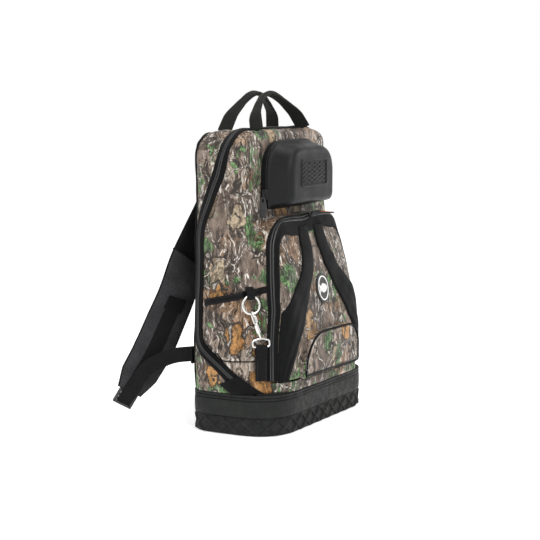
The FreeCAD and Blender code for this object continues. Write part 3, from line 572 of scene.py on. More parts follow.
def rounded_rect(z, t):
    """Points of the bag's outline at heights z and shares t of the way round, from the middle of
    the front, turning to +X."""
    width, front, fr = (np.asarray(value)[..., None] for value in plan(BAG, z))
    back, br = BACK, BACK_ROUND
    shares = np.cumsum([0, 0.13, 0.10, 0.07, 0.06, 0.14])  # front, corner, side, corner, back
    s = np.where(t > 0.5, 1 - t, t) * (shares[-1] / 0.5)
    side = np.where(t > 0.5, -1.0, 1.0)
    x = np.zeros(np.broadcast(width, s).shape)
    y = np.zeros_like(x)
    k = [(s - shares[i]) / (shares[i + 1] - shares[i]) for i in range(5)]
    a = k[1] * np.pi / 2
    b = k[3] * np.pi / 2
    parts = (
        ((width - fr) * k[0], front),
        (width - fr + fr * np.sin(a), front + fr - fr * np.cos(a)),
        (width, front + fr + (back - br - front - fr) * k[2]),
        (width - br + br * np.cos(b), back - br + br * np.sin(b)),
        ((width - br) * (1 - k[4]), back),
    )
    for i, (px, py) in enumerate(parts):
        inside = (s >= shares[i] - 1e-9) & (s <= shares[i + 1] + 1e-9)
        x = np.where(inside, px, x)
        y = np.where(inside, py, y)
    return np.stack([x * side, y], -1)


def sampled(points, length, at):
    """Points of a line at the given distances along it."""
    return np.stack([np.interp(at, length, axis) for axis in points.T], -1)


def smooth_curve(points, step=2.0):
    """Dense rounded polyline through (u, v, radius) corners."""
    out = [np.array(points[0][:2], float)]
    for i in range(1, len(points) - 1):
        a, b, c = (np.array(points[j][:2], float) for j in (i - 1, i, i + 1))
        d1, d2 = (a - b) / np.linalg.norm(a - b), (c - b) / np.linalg.norm(c - b)
        reach = points[i][2] / math.tan(math.acos(np.clip(d1 @ d2, -1, 1)) / 2)
        start, end = b + d1 * reach, b + d2 * reach
        for k in np.linspace(0, 1, 14):
            out.append((1 - k) ** 2 * start + 2 * k * (1 - k) * b + k * k * end)
    out = np.array(out + [np.array(points[-1][:2], float)])
    length = run_lengths(out)
    return sampled(out, length, np.arange(0, length[-1], step))


ZIP = smooth_curve([(-62, 45, 0), (60, 145, 40), (60, 335, 90), (20, 430, 90), (20, 530, 0)])
LEG = smooth_curve([(-60, 40, 0), (-60, 205, 120), (-45, 306, 60), (-44.5, 400, 0)])


def outward_of(run):
    """Unit normals to the right of a flat line's run."""
    run = run / np.linalg.norm(run, axis=1)[:, None]
    return np.stack([run[:, 1], -run[:, 0]], -1)


def side_distance(curve, y, z):
    """Signed distance behind a curve drawn in the side view."""
    normal = outward_of(np.gradient(curve, axis=0))
    flat = np.stack([y.ravel(), z.ravel()], -1)
    out = np.empty(len(flat))
    block = 20000  # points at a time, to keep memory small
    for start in range(0, len(flat), block):
        part = flat[start:start + block]
        delta = part[:, None] - curve[None]
        near = np.argmin((delta ** 2).sum(-1), 1)
        out[start:start + block] = (delta[np.arange(len(part)), near] * normal[near]).sum(-1)
    return out.reshape(y.shape)


def face_mean(values):
    """Mean of a grid's values over each face, without wrap."""
    return (values[:-1, :-1] + values[1:, :-1] + values[:-1, 1:] + values[1:, 1:]) / 4


def seam_strip(distance, surface, curve, centre_z, across, grow, low):
    """Grid along a seam drawn in the side view, from one side's foot over the top to the other's.

    across holds the offsets from the seam, and grow the height of each above the form.
    """
    normal = outward_of(np.gradient(curve, axis=0))
    reach = np.abs(across).max() * 0.5
    picked = (curve[:, 1] > low) & (curve[:, 1] < centre_z - reach)
    origin = np.zeros((picked.sum(), len(across), 3))
    origin[..., 1:] = curve[picked][:, None] + normal[picked][:, None] * across[None, :, None]
    angles = np.linspace(0, np.pi / 2, 70)[:, None]
    level = np.broadcast_to(np.asarray(grow, float), (len(across),))

    def seam_y(z):
        """Where the seam and its offsets lie at heights z."""
        slope = np.interp(z, curve[:, 1], normal[:, 0])
        return np.interp(z, curve[:, 1], curve[:, 0]) + across / slope

    def height(p):
        return surface(p) + level[None]

    def half(sign):
        wall = solve(distance, origin, np.array([float(sign), 0, 0]), height, 260)
        turn = vectors(sign * np.cos(angles), 0 * across, np.sin(angles))
        y = np.broadcast_to(seam_y(centre_z), turn.shape[:2])
        for _ in range(5):
            top = solve(distance, vectors(0, y, centre_z), turn, height, 260)
            y = seam_y(top[..., 2])
        return np.concatenate([wall, top[1:]])

    return np.concatenate([half(1), half(-1)[::-1][1:]])


# ---------------------------------------------------------------- bag halves

PANEL_EDGE = 73.5  # Y of the edge between the print and the black back panel


def bag_grid(grow, centre_z=404.0, cols=300):
    """Grid over the whole bag: rows round its sides, then rows over its top."""
    t = np.linspace(0, 1, cols + 1)
    rows = np.arange(67.9, centre_z, 3.6)

    def middle(z):
        return (plan(BAG, z)[1] + BACK) / 2

    origin = np.zeros((len(rows), cols + 1, 3))
    origin[..., 1] = middle(rows)[:, None]
    origin[..., 2] = rows[:, None]
    direction = np.zeros_like(origin)
    direction[..., :2] = rounded_rect(rows, t[None]) - origin[..., :2]
    phi = np.linspace(0, np.pi / 2, 46)[:, None]
    ring = rounded_rect(centre_z, t)
    y_mid = middle(centre_z)
    cap_origin = vectors(0, y_mid, np.full((len(phi), cols + 1), centre_z))
    cap = vectors(np.cos(phi) * ring[:, 0], np.cos(phi) * (ring[:, 1] - y_mid), np.sin(phi) * 84)
    direction = unit(np.concatenate([direction, cap]))
    return solve(bag_distance, np.concatenate([origin, cap_origin]), direction, grow)


def bag_surface(p):
    """How far the cloth stands off the bag's form: flat at the rim, fuller and rippled above."""
    crown = 1.4 * np.sqrt(np.clip((p[..., 2] - RIM) / 60, 0, 1))
    return 0.4 + crown + 1.1 * ripple(p, 150) + 0.45 * ripple(p, 52, 2.0)


def make_bag():
    grid = bag_grid(bag_surface)
    behind = face_mean(side_distance(ZIP, grid[..., 1], grid[..., 2]))
    gap = 3.2  # from the seam to each half's cloth, under the tapes
    rear = behind > gap
    bag = sheet_mesh("rear_bag", grid, "rear_body", [CAMO, BLACK], 2.2, keep=rear, lining=LINING,
                     slot="camo_fabric", node="rear_shell")
    at_back = face_mean(grid[..., 1])[rear] > PANEL_EDGE
    bag.data.polygons.foreach_set("material_index", at_back.astype(np.int32))
    sheet_mesh("front_bag", grid, "front_panel", CAMO, 2.2, keep=behind < -gap, lining=LINING,
               slot="camo_fabric", node="front_shell")


def zip_line(name, distance, surface, curve, centre_z, low, bodies, nodes, half_width=9.8):
    """Two tapes with stitched edges and the coil between them, for the rear and the front."""
    lift = 0.3
    across = np.array([0.25, 2.6, 2.9, half_width - 2.4, half_width - 1.2, half_width])
    level = np.array([1.2, 1.2, 0.9, 0.9, 0.9, 0.3]) + lift
    for sign, end, body, node, thread in ((1, "_rear", bodies[0], nodes[0], DARK_THREAD),
                                          (-1, "_front", bodies[1], nodes[1], THREAD)):

        def strip(part, offsets, heights, material, thick, skip=False, **more):
            grid = seam_strip(distance, surface, curve, centre_z, sign * offsets, heights, low)
            keep = (np.arange(len(grid) - 1) % 3 < 2) if skip else None
            sheet_mesh(name + part + end, grid, body, material, thick, flip=sign > 0,
                       keep=keep, **more)

        strip("", across, level, TAPE, 1.0, slot="zip_tape", node=node)
        strip("_teeth", np.array([0.3, 1.6, 3.0]), level[:3] + (0.1, 1.3, 0.1), PLASTIC, 0.6,
              slot="black_plastic")
        strip("_stitch", np.array([half_width - 2.2, half_width - 1.6]), 0.9 + lift + 0.25, thread,
              0.5, skip=True)


def make_main_zip():
    zip_line("main_zip", bag_distance, bag_surface, ZIP, 400.0, 66.0, ("rear_body", "front_panel"),
             ("rear_zip_tape", "front_zip_tape"))


# ---------------------------------------------------------------- front pocket

POCKET_CENTRE = 278.0  # height of the centre that the rays over the pocket's top leave from
POCKET_MIDDLE = 4.0  # Y of the axis that the rays round the pocket leave from


def pocket_grid(grow, cols=190):
    """Grid over the pocket's front and sides, from its left rear edge round to the right."""
    rows = np.arange(68.4, POCKET_CENTRE, 3.2)
    wide, front, turn = (value[:, None] for value in plan(POCKET, rows))
    t = np.linspace(-1, 1, cols + 1)
    s = np.abs(t)
    flat, bend = 0.42, 0.78  # shares where the flat front and the rounded corner end
    a = np.clip((s - flat) / (bend - flat), 0, 1) * np.pi / 2
    x = np.where(s < flat, (wide - turn) * (s / flat), wide - turn + turn * np.sin(a))
    y = np.where(s < flat, front, front + turn * (1 - np.cos(a)))
    rear = front + turn
    y = np.where(s > bend, rear + (2.0 - rear) * (s - bend) / (1 - bend), y)
    out = np.stack([x * np.sign(t), y], -1)
    origin = vectors(np.zeros_like(x), POCKET_MIDDLE, rows[:, None])
    direction = vectors(out[..., 0], out[..., 1] - POCKET_MIDDLE, 0)
    phi = np.linspace(0, np.pi / 2, 40)[:, None]
    ring_x, ring_y = out[-1, :, 0], out[-1, :, 1] - POCKET_MIDDLE
    # Rays lean forward as they rise, so that the grid reaches the top's front edge too.
    lean = np.sin(phi) * np.clip(-ring_y / 60.0, 0, 1) * 46
    cap = vectors(np.cos(phi) * ring_x, np.cos(phi) * ring_y - lean, np.sin(phi) * 69)
    cap_origin = vectors(np.zeros(cap.shape[:2]), POCKET_MIDDLE, POCKET_CENTRE)
    direction = unit(np.concatenate([direction, cap]))
    return solve(pocket_distance, np.concatenate([origin, cap_origin]), direction, grow)


def pocket_surface(p):
    """How far the cloth stands off the pocket's form."""
    x, z = p[..., 0], p[..., 2]
    crown = (np.clip(1 - (np.abs(x) / 150) ** 3, 0, 1) * np.clip((z - 84) / 50, 0, 1)
             * np.clip((345 - z) / 60, 0, 1))
    return 0.5 + 2.2 * crown + 0.8 * ripple(p, 120, 1.0) + 0.35 * ripple(p, 45, 3.0)


def make_pocket():
    grid = pocket_grid(pocket_surface)
    behind = face_mean(side_distance(LEG, grid[..., 1], grid[..., 2]))
    height = face_mean(grid[..., 2])
    door_low = box_mm("door_panel")[0][2]
    gap = 3.0  # from the seam to each part's cloth, under the tapes
    for name, body, keep, node in (
            ("pocket_door", "pocket_door", (behind < -gap) & (height > door_low), "door_panel"),
            ("pocket_wall", "front_panel", (behind > gap) | (height < door_low - 0.6),
             "pocket_gusset")):
        sheet_mesh(name, grid, body, CAMO, 2.0, keep=keep, lining=LINING, slot="camo_fabric",
                   node=node)
    zip_line("pocket_zip", pocket_distance, pocket_surface, LEG, POCKET_CENTRE, 87.0,
             ("front_panel", "pocket_door"), ("pocket_zip_tape", "door_zip_tape"), 7.8)


def share_of_x(x, z):
    """How far round the pocket a point lies: 0 in the middle, 1 where the corner ends."""
    wide, _, turn = plan(POCKET, z)
    flat = wide - turn
    x = np.abs(x)
    return np.where(x < flat, 0.5 * x / flat,
                    0.5 + np.arcsin(np.clip((x - flat) / turn, 0, 1)) / np.pi)


def share_of_y(y, z):
    """The same share, found from how far back the point lies."""
    _, front, turn = plan(POCKET, z)
    return 0.5 + np.arccos(np.clip(1 - (y - front) / turn, -1, 1)) / np.pi


def pocket_points(share, z, lift):
    """Points on the pocket at signed shares round it and heights z."""
    wide, front, turn = plan(POCKET, z)
    s = np.abs(share)
    angle = np.clip((s - 0.5) * np.pi, 0, np.pi / 2)
    x = np.where(s < 0.5, (wide - turn) * s * 2, wide - turn + turn * np.sin(angle))
    y = np.where(s < 0.5, front, front + turn * (1 - np.cos(angle)))
    origin = vectors(x * 0, POCKET_MIDDLE, z)
    direction = unit(vectors(x * np.sign(share), y - POCKET_MIDDLE, 0))
    return solve(pocket_distance, origin, direction, lambda p: pocket_surface(p) + lift)


def front_points(x, z, lift):
    """Points on the pocket's front, seen straight from the front."""
    origin = vectors(x, POCKET_MIDDLE, z)
    return solve(pocket_distance, origin, np.array([0, -1.0, 0]),
                 lambda p: pocket_surface(p) + lift, 200)


def closed_outline(corners, count):
    """Evenly spaced points round a rounded outline, starting in the middle of its last side."""
    middle = (np.array(corners[0][:2], float) + np.array(corners[-1][:2], float)) / 2
    line = smooth_curve([(*middle, 0), *corners, (*middle, 0)], 0.5)
    line = np.concatenate([line, middle[None]])
    length = run_lengths(line)
    return sampled(line, length, np.linspace(0, length[-1], count, endpoint=False))


def outward(outline):
    """Unit normals that point out of a closed outline."""
    normal = outward_of(np.roll(outline, -1, 0) - np.roll(outline, 1, 0))
    return normal if (normal * (outline - outline.mean(0))).sum() > 0 else -normal


def ease(value):
    value = np.clip(value, 0, 1)
    return value * value * (3 - 2 * value)


def dashes(name, points, normals, body, material=None):
    """Row of stitches along points on a surface, each a small four-sided point."""
    pitch, half_length, half_width = 3.6, 1.15, 0.45
    points, normals = np.asarray(points, float), np.asarray(normals, float)
    side = unit(np.cross(unit(np.gradient(points, axis=0)), normals))
    length = run_lengths(points)
    spots, faces = [], []
    for centre in np.arange(1.6, length[-1] - 1.6, pitch):
        corner = []
        for along, across in ((-half_length, 0), (0, -half_width), (half_length, 0),
                              (0, half_width)):
            p, n, s = (sampled(values, length, centre + along)
                       for values in (points, normals, side))
            corner.append(p + s * across + n * 0.25)
        n = sampled(normals, length, centre)
        start = len(spots)
        spots += corner + [np.mean(corner, 0) + n * 0.35]
        faces += [(start + i, start + (i + 1) % 4, start + 4) for i in range(4)]
    return make_mesh(name, spots, faces, body, material or DARK_THREAD, smooth=False)


# ---------------------------------------------------------------- panels on the pocket

def table_of(levels, values, soft=14):
    """Half widths against height on the pocket's front, softened at the kinks."""
    dense_z = np.arange(80, 345, 1.0)
    return dense_z, softened(np.interp(dense_z, levels, values), soft)


SWOOSH_IN = table_of((86, 118, 148, 175, 225, 258, 297, 328),
                     (124, 112, 98, 76, 46, 22, 12, 11))
SWOOSH_OUT = table_of((86, 178, 200, 224, 258, 290, 328),
                      (152, 152, 124, 98, 60, 44, 38), 8)


def make_swooshes():
    rows = np.concatenate([np.arange(86.8, 327, 2.4), [328.0]])
    leg_y = np.interp(rows, LEG[:, 1], LEG[:, 0])
    inner = share_of_x(np.interp(rows, *SWOOSH_IN), rows)
    outer = np.minimum(share_of_x(np.interp(rows, *SWOOSH_OUT), rows),
                       share_of_y(leg_y - 8.6, rows))
    across = np.linspace(0, 1, 34)
    share = inner[:, None] + (outer - inner)[:, None] * across[None]
    rows = rows[:, None]
    z = np.broadcast_to(rows, share.shape)
    arch = np.clip(np.sin(np.pi * across), 0, 1)
    crown = 1.0 + 2.2 * np.sqrt(arch) * ease((rows - 86) / 14)
    fold = 0.7 * np.sin(across * 15 + rows * 0.05) * np.sin(np.pi * across)
    fold = fold * ease((250 - rows) / 90)
    for side, name in SIDES:
        grid = pocket_points(side * share, z, 0.9 + crown * 0.8 + fold)
        sheet_mesh("swoosh_panel_" + name, grid, "pocket_door", BLACK, 1.4, flip=side > 0,
                   slot="black_fabric", node="swoosh_" + name)
        for label, edge in (("inner", 0), ("outer", -1)):
            tube("swoosh_piping_%s_%s" % (label, name), grid[:, edge], 1.25, "pocket_door", WEB, 8,
                 slot="black_fabric")
        middle = grid[:, 2]
        normal = np.cross(np.gradient(middle, axis=0), grid[:, 5] - middle)
        normal *= np.sign((normal * (middle - np.array([0, POCKET_MIDDLE, 200]))).sum(-1))[:, None]
        dashes("swoosh_stitch_" + name, middle, unit(normal), "pocket_door")


def make_badge():
    low, high = box_mm("badge")
    centre_x, centre_z = (low[0] + high[0]) / 2, (low[2] + high[2]) / 2
    wide, tall = (high[0] - low[0]) / 2, (high[2] - low[2]) / 2
    angle = np.linspace(0, 2 * np.pi, 96, endpoint=False)

    def oval(*steps):
        """Rings of the oval at (share of its size, lift) steps."""
        return [front_points(centre_x + wide * share * np.cos(angle),
                             centre_z + tall * share * np.sin(angle), lift)
                for share, lift in steps]

    def part(name, rings, material, **more):
        ring_mesh(name, rings, "pocket_door", material, mapped=False, slot="badge_rubber", **more)

    part("badge_plate", oval((1, 0.2), (1, 2.6), (0.97, 3.2), (0.9, 3.3), (0.88, 2.7), (0.5, 2.8),
                             (0.04, 2.8)), PLASTIC, node="badge")
    part("badge_ring", oval((0.84, 2.6), (0.84, 3.5), (0.75, 3.5), (0.75, 2.6)), WHITE)
    turn = np.linspace(0, 2 * np.pi, 48, endpoint=False)
    fish = np.stack([10.6 * np.cos(turn) + 2.6, 7.4 * np.sin(turn) * (1 - 0.25 * np.cos(turn))], -1)
    tail = np.array([[-6.4, 1.2], [-14.4, 8.0], [-12.0, 0], [-14.4, -8.0], [-6.4, -1.2]])
    for name, shape in (("badge_fish", fish), ("badge_tail", tail)):
        outline = shape + (centre_x, centre_z)
        middle = outline.mean(0) + (outline - outline.mean(0)) * 0.05
        part(name, [front_points(*flat.T, lift) for flat, lift in
                    ((outline, 2.6), (outline, 3.5), (middle, 3.6))], WHITE)


def make_arch():
    count = 300
    right, low = 99, box_mm("arch_pocket")[0][2]
    outline = closed_outline([(-92, low, 5), (right, low, 5), (right, 156, 48), (-84, 156, 62)],
                             count)
    normal = outward(outline)
    centre = np.array([3.0, 118.0])

    def ring(inset, lift):
        return front_points(*(outline - normal * inset).T, lift)

    ring_mesh("arch_wall", [ring(-1.5, 0), ring(-1.8, 5), ring(-1.4, 10.4)], "pocket_door", CAMO,
              slot="camo_fabric")
    rings = []
    for k in np.linspace(1, 0.02, 34):
        p = centre + (outline - normal * 0.3 - centre) * k
        slack = 0.5 * ripple(vectors(p[:, 0], 0, p[:, 1]), 45)
        rings.append(front_points(*p.T, 10.6 + 3.2 * (1 - k ** 2.2) + slack))
    ring_mesh("arch_face", rings, "pocket_door", CAMO, slot="camo_fabric", node="arch_pocket")
    first = int(np.argmin(np.abs(outline[:, 0] - right) + np.abs(outline[:, 1] - low - 5)))
    order = np.roll(np.arange(count), -first)
    order = order[outline[order][:, 1] > low + 2.5]
    tube("arch_piping_cord", ring(-0.6, 11.4)[order], 1.9, "pocket_door", BLACK, 12,
         slot="black_fabric", node="arch_piping")
    inner = ring(4.0, 11.9)[order]
    dashes("arch_stitch", inner, np.tile([0, -1.0, 0], (len(inner), 1)), "pocket_door", THREAD)


# ---------------------------------------------------------------- side pockets

def side_points(y, z, lift, side=-1):
    """Points on the bag's side and front corner, out along the form's own normal."""
    wide, front, turn = plan(BAG, z)
    centre_y = front + turn
    angle = np.arcsin(np.clip((centre_y - y) / turn, 0, 0.999))
    origin = vectors(wide - turn, np.maximum(y, centre_y), z)
    direction = vectors(np.cos(angle), -np.sin(angle), 0)
    p = solve(bag_distance, origin, direction, lambda q: bag_surface(q) + lift, 120)
    return p * np.array([side, 1, 1])


def pocket_top_line(y):
    """Height of the side pocket's slanted mouth."""
    return 216 + (47 - y) * (23 / 91)


def side_bulge(y, z):
    """How far the side pocket's cloth stands off the bag."""
    rear = ease((47 - y) / 9)
    front = ease((y + 44) / 7)
    step = ease((y + 17) / 7)
    foot = ease((z - 118) / 15)
    full = 3.3 + 6.9 * step
    pleat = -5.0 * np.exp(-((y + 15) / 2.4) ** 2) * foot
    gather = 0.9 * np.sin(y * 0.36 + z * 0.05) + 0.6 * np.sin(y * 0.21 - z * 0.11)
    gather = gather * foot * rear * step
    sag = 1.4 * np.sin(np.pi * np.clip((z - 120) / 105, 0, 1)) * step * rear
    return 0.9 + rear * front * (full * (0.25 + 0.75 * foot)) + pleat + gather + sag


def make_side_pockets():
    y_line = np.linspace(47, -44, 92)
    corner = np.interp(y_line, (-44, 12, 47), (120, 120, 160))
    mouth = pocket_top_line(y_line)
    share = np.linspace(0, 1, 60)[:, None]
    # Bound edge: offsets from the mouth down the front, over the edge and down the back.
    band_share = np.array([-9.5, -9.3, -4, 1.4, 2.2, 2.0, -1.0, -8.6, -9.2])[:, None]
    band_lift = np.array([0.0, 1.1, 1.5, 1.1, 0.2, -1.6, -2.4, -2.4, -1.2])[:, None]
    for side, name in SIDES:
        z = corner + (mouth - corner) * share
        y = np.broadcast_to(y_line, z.shape)
        lift = 0.8 + (side_bulge(y, z) - 0.8) * ease(share * 9)
        sheet_mesh("side_pocket_cloth_" + name, side_points(y, z, lift, side), "front_panel", CAMO,
                   1.6, flip=side > 0, lining=LINING, slot="camo_fabric",
                   node="side_pocket_" + name)
        foot = side_points(y_line, corner + 0.6, 1.5, side)
        tube("side_pocket_seam_" + name, foot, 0.9, "front_panel", BLACK, 8, slot="black_fabric")
        z = mouth + band_share
        y = np.broadcast_to(y_line, z.shape)
        grid = side_points(y, z, side_bulge(y, np.minimum(z, mouth)) + band_lift, side)
        ring_mesh("side_band_" + name, grid, "front_panel", WEB, wrap=False, flip=side > 0,
                  slot="webbing", node="side_binding_" + name)
        for k, offset in enumerate((-7.6, 0.2)):
            z = mouth + offset
            line = side_points(y_line, z, side_bulge(y_line, np.minimum(z, mouth)) + 1.4, side)
            out = unit(side_points(y_line, z, side_bulge(y_line, z) + 6, side) - line)
            dashes("side_band_stitch_%s_%d" % (name, k), line, out, "front_panel")


def make_band_tails():
    """The side pockets' bindings run on over the front pocket's side wall, up to its zip."""
    y_line = np.linspace(-33, -53.5, 24)
    offset = np.array([-9.5, -9.3, -4, 1.4, 1.8, 1.6])[:, None]
    lift = np.array([0.0, 1.3, 1.7, 1.3, 0.6, -0.6])[:, None]
    z = pocket_top_line(-44) + (y_line + 44) * -0.28 + offset
    y = np.broadcast_to(y_line, z.shape)
    for side, name in SIDES:
        ring_mesh("side_band_tail_" + name, pocket_points(side * share_of_y(y, z), z, lift),
                  "front_panel", WEB, wrap=False, flip=side > 0, slot="webbing")


def make_zip_ends():
    """Black cloth between a lower and an upper (y, z) line where the zip meets the rim."""
    share = np.linspace(0, 1, 24)
    low_line = np.stack([np.interp(share, (0, 0.4, 1), (18, -2, -50)),
                         np.interp(share, (0, 0.4, 1), (82, 68, 68))], -1)
    high_line = np.stack([np.interp(share, (0, 0.5, 1), (18, -15, -50)),
                          np.interp(share, (0, 0.5, 1), (82, 98, 68))], -1)
    up = np.linspace(0, 1, 12)[:, None, None]
    flat = low_line[None] * (1 - up) + high_line[None] * up
    for side, name in SIDES:
        sheet_mesh("zip_end_cloth_" + name, side_points(flat[..., 0], flat[..., 1], 2.0, side),
                   "front_panel", BLACK, 1.2, flip=side > 0, slot="black_fabric",
                   node="zip_end_" + name)


# ---------------------------------------------------------------- rubber base

def rounded_box(half_x, half_y, front, back, count):
    """Outline of a rectangle about the origin, with its corner radii at front and back."""
    return closed_outline([(-half_x, -half_y, front), (half_x, -half_y, front),
                           (half_x, half_y, back), (-half_x, half_y, back)], count)


def make_shade_skirt():
    """Flat black sheet over the gap where the bag sits on the base, one piece on each half; its
    black is painted shade, standing for the dark line where the cloth meets the rim.
    """
    count, width = 720, 22
    half_x, half_y = BASE_HIGH[0] - 2.6, BASE_HIGH[1] - 2.6
    outline = rounded_box(half_x, half_y, 72, 47, count)
    inner = outline * np.array([1 - width / half_x, 1 - width / half_y])
    for name, body, keep in (("shade_skirt_front", "front_panel", outline[:, 1] < -44),
                             ("shade_skirt_rear", "rear_body", outline[:, 1] > -41)):
        start = np.flatnonzero(keep & ~np.roll(keep, 1))[0]
        order = np.roll(np.arange(count), -start)[:int(keep.sum())]
        rows = []
        for share, z in ((0.0, 67.75), (0.06, 68.35), (0.5, 68.45), (1.0, 68.45)):
            flat = outline[order] * (1 - share) + inner[order] * share
            rows.append(vectors(flat[:, 0], flat[:, 1], z))
        # Black cloth here is painted shade: it stands for the dark gap between the bag's cloth and
        # the rubber rim.
        sheet_mesh(name, np.stack(rows), body, BLACK, 0.4, slot="black_fabric")


def make_base():
    """Tub with a diamond tread, a smooth band and a ribbed rim."""
    low, high = BASE_LOW, BASE_HIGH
    count = 1050
    outline = rounded_box((high[0] - low[0]) / 2, (high[1] - low[1]) / 2, 75, 50, count)
    normal = outward(outline)
    length = run_lengths(np.concatenate([outline, outline[:1]]))[-1]
    tread_low, tread_high, tread_deep = 2.4, 27.4, 3.2
    period = length / round(length / 33.0)
    s = np.arange(count) * length / count

    def lattice(z):
        """1 on the tread's crossing ribs and 0 between them."""
        total = np.zeros(count)
        for sign in (1, -1):
            f = np.abs(((s + sign * z * period / 27.0) / period) % 1 - 0.5) * period
            total = np.maximum(total, ease((2.7 - f) / 0.9))
        return total

    # Height, inset and whether the tread stands out there.
    rows = [(0.0, 5.0, 0), (0.6, 3.4, 0), (1.6, 2.2, 1)]
    rows += [(z, 2.9, 1) for z in np.arange(tread_low, tread_high, 0.95)]
    rows += [(z, inset, 0) for z, inset in (
        (27.6, 1.0), (28.6, 0.5), (28.9, 2.3), (30.1, 2.3), (30.6, 0.3), (31.6, 0), (40, -0.4),
        (50, -0.4), (56.0, 0), (57.0, 0.2), (57.3, 1.7), (58.4, 1.7), (58.8, 0.2), (60.2, -0.2),
        (61.6, 0.2), (62.0, 1.7), (63.0, 1.7), (63.5, 0.2), (65.0, -0.2), (66.6, 0.2), (67.3, 1.2),
        (67.4, 2.2), (67.2, 3.8), (66.4, 4.5), (40, 4.5), (6, 4.5), (4, 7))]
    rings = [vectors(*(outline * k).T, 0.0) for k in (0.02, 0.5, 0.9)]
    for z, inset, tread in rows:
        depth = inset - (tread_deep * lattice(z) * ease(z / 3.0) if tread else np.zeros(count))
        rings.append(vectors(*(outline - normal * depth[:, None]).T, z))
    rings += [vectors(*(outline * k).T, 4.0) for k in (0.5, 0.02)]
    ring_mesh("rubber_base", rings, "rear_body", RUBBER, slot="base_rubber", node="moulded_base")


# ---------------------------------------------------------------- moulded case

CASE_CENTRE = 416.0  # height of the case's centre


def case_ring(inset, y):
    """Outline of the case, set in by inset, at a station y."""
    side, low, high = 88 - inset, 360 + 0.7 * inset, 470 - inset
    flat = closed_outline([(-side, low, 12), (side, low, 12), (side, high, 55 - inset),
                           (-side, high, 55 - inset)], 360)
    return vectors(flat[:, 0], y, flat[:, 1])


def closing_rings(ring, shares, y):
    """Rings shrunk towards the case's centre; y is a number or a function of share, x and z."""
    rings = []
    for k in shares:
        x, z = ring[:, 0] * k, CASE_CENTRE + (ring[:, 2] - CASE_CENTRE) * k
        rings.append(vectors(x, y(k, x, z) if callable(y) else y, z))
    return rings


def case_relief(x, z):
    """Raised frame, sunk panel and wavy ribs on the case's face."""
    def inside(half_w, low, high, r=3.0):
        qx = np.abs(x) - half_w + r
        qz = np.abs(z - (low + high) / 2) - (high - low) / 2 + r
        d = np.hypot(np.clip(qx, 0, None), np.clip(qz, 0, None))
        d = d + np.minimum(np.maximum(qx, qz), 0) - r
        return ease((0.5 - d) / 1.0)

    panel = inside(42.5, 397.5, 436.5)
    waves = np.zeros_like(x)
    for level in (403.0, 410.0, 417.0, 424.0, 431.0):
        d = np.abs(z - level - 1.7 * np.sin(x * 0.34))
        waves = np.maximum(waves, ease((1.9 - d) / 0.9))
    waves *= inside(39, 399.5, 434.5)
    return 1.5 * (inside(46, 394, 440, 5) - panel) - 0.6 * panel + 1.5 * waves


def make_case():
    # Y and inset of the lid's rings, from its joint with the soft wall out to its face.
    stations = [(-18.7, 3.0), (-18.6, -1.2), (-19.2, -1.7), (-22.0, -1.7), (-22.6, -1.1),
                (-22.9, 0.3), (-24, 0.9), (-30, 2.9), (-38, 5.4), (-46, 7.9), (-49, 8.7),
                (-52, 9.9), (-54.5, 11.3), (-56.6, 13.1), (-58.2, 15.4), (-59.3, 18.2),
                (-60, 21.5)]
    face, inner_face, floor, wall = -60, -57.6, -9.3, 2.4
    few = (0.8, 0.5, 0.2, 0.02)
    rings = [case_ring(inset, y) for y, inset in stations]
    rings += closing_rings(rings[-1], np.linspace(0.985, 0.01, 66),
                           lambda k, x, z: face - 1.3 * (1 - k ** 2) - case_relief(x, z))
    ring_mesh("case_shell", rings, "case_lid", SHELL, slot="case_shell", node="case_lid")
    rings = [case_ring(inset + wall, max(y, inner_face)) for y, inset in stations[6:]]
    rings += closing_rings(rings[-1], few, inner_face)
    ring_mesh("case_lining", rings, "case_lid", LINING, flip=True, slot="lining")
    rings = [case_ring(inset, y) for y, inset in ((-7.6, 3.0), (-8.0, 0.9), (-10, 0.6), (-14, 0.1),
                                                  (-17.6, 0.6), (-18.2, 1.4))]
    sheet_mesh("case_wall", np.stack(rings), "front_panel", BLACK, 2.0, wrap=True,
               slot="black_fabric", node="case_gusset")
    rim = case_ring(2.6, floor)
    ring_mesh("case_floor", [rim] + closing_rings(rim, few, floor), "front_panel", LINING,
              slot="lining", node="case_back")
    for name, body, y in (("case_teeth_lid", "case_lid", -18.9),
                          ("case_teeth_back", "front_panel", -17.6)):
        upper = case_ring(-0.2, y)
        upper = np.roll(upper, -int(np.argmin(upper[:, 2])), 0)
        tube(name, upper[upper[:, 2] > 363], 0.8, body, PLASTIC, 8, slot="black_plastic")


# ---------------------------------------------------------------- swept bands

def catmull(points, count):
    """Smooth curve through points, evenly sampled by share."""
    points = np.asarray(points, float)
    t = np.linspace(0, len(points) - 1, count)
    padded = np.concatenate([2 * points[:1] - points[1:2], points, 2 * points[-1:] - points[-2:-1]])
    i = np.clip(t.astype(int), 0, len(points) - 2)
    f = (t - i)[:, None]
    a, b, c, d = (padded[i + k] for k in range(4))
    return 0.5 * (2 * b + (c - a) * f + (2 * a - 5 * b + 4 * c - d) * f * f
                  + (3 * b - a - 3 * c + d) * f ** 3)


def section(count, power=4.0):
    """Rounded flat section: across in -1..1 and up in -1..1."""
    angle = np.linspace(0, 2 * np.pi, count, endpoint=False)
    c, s = np.cos(angle), np.sin(angle)
    return np.sign(c) * np.abs(c) ** (2 / power), np.sign(s) * np.abs(s) ** (2 / power)


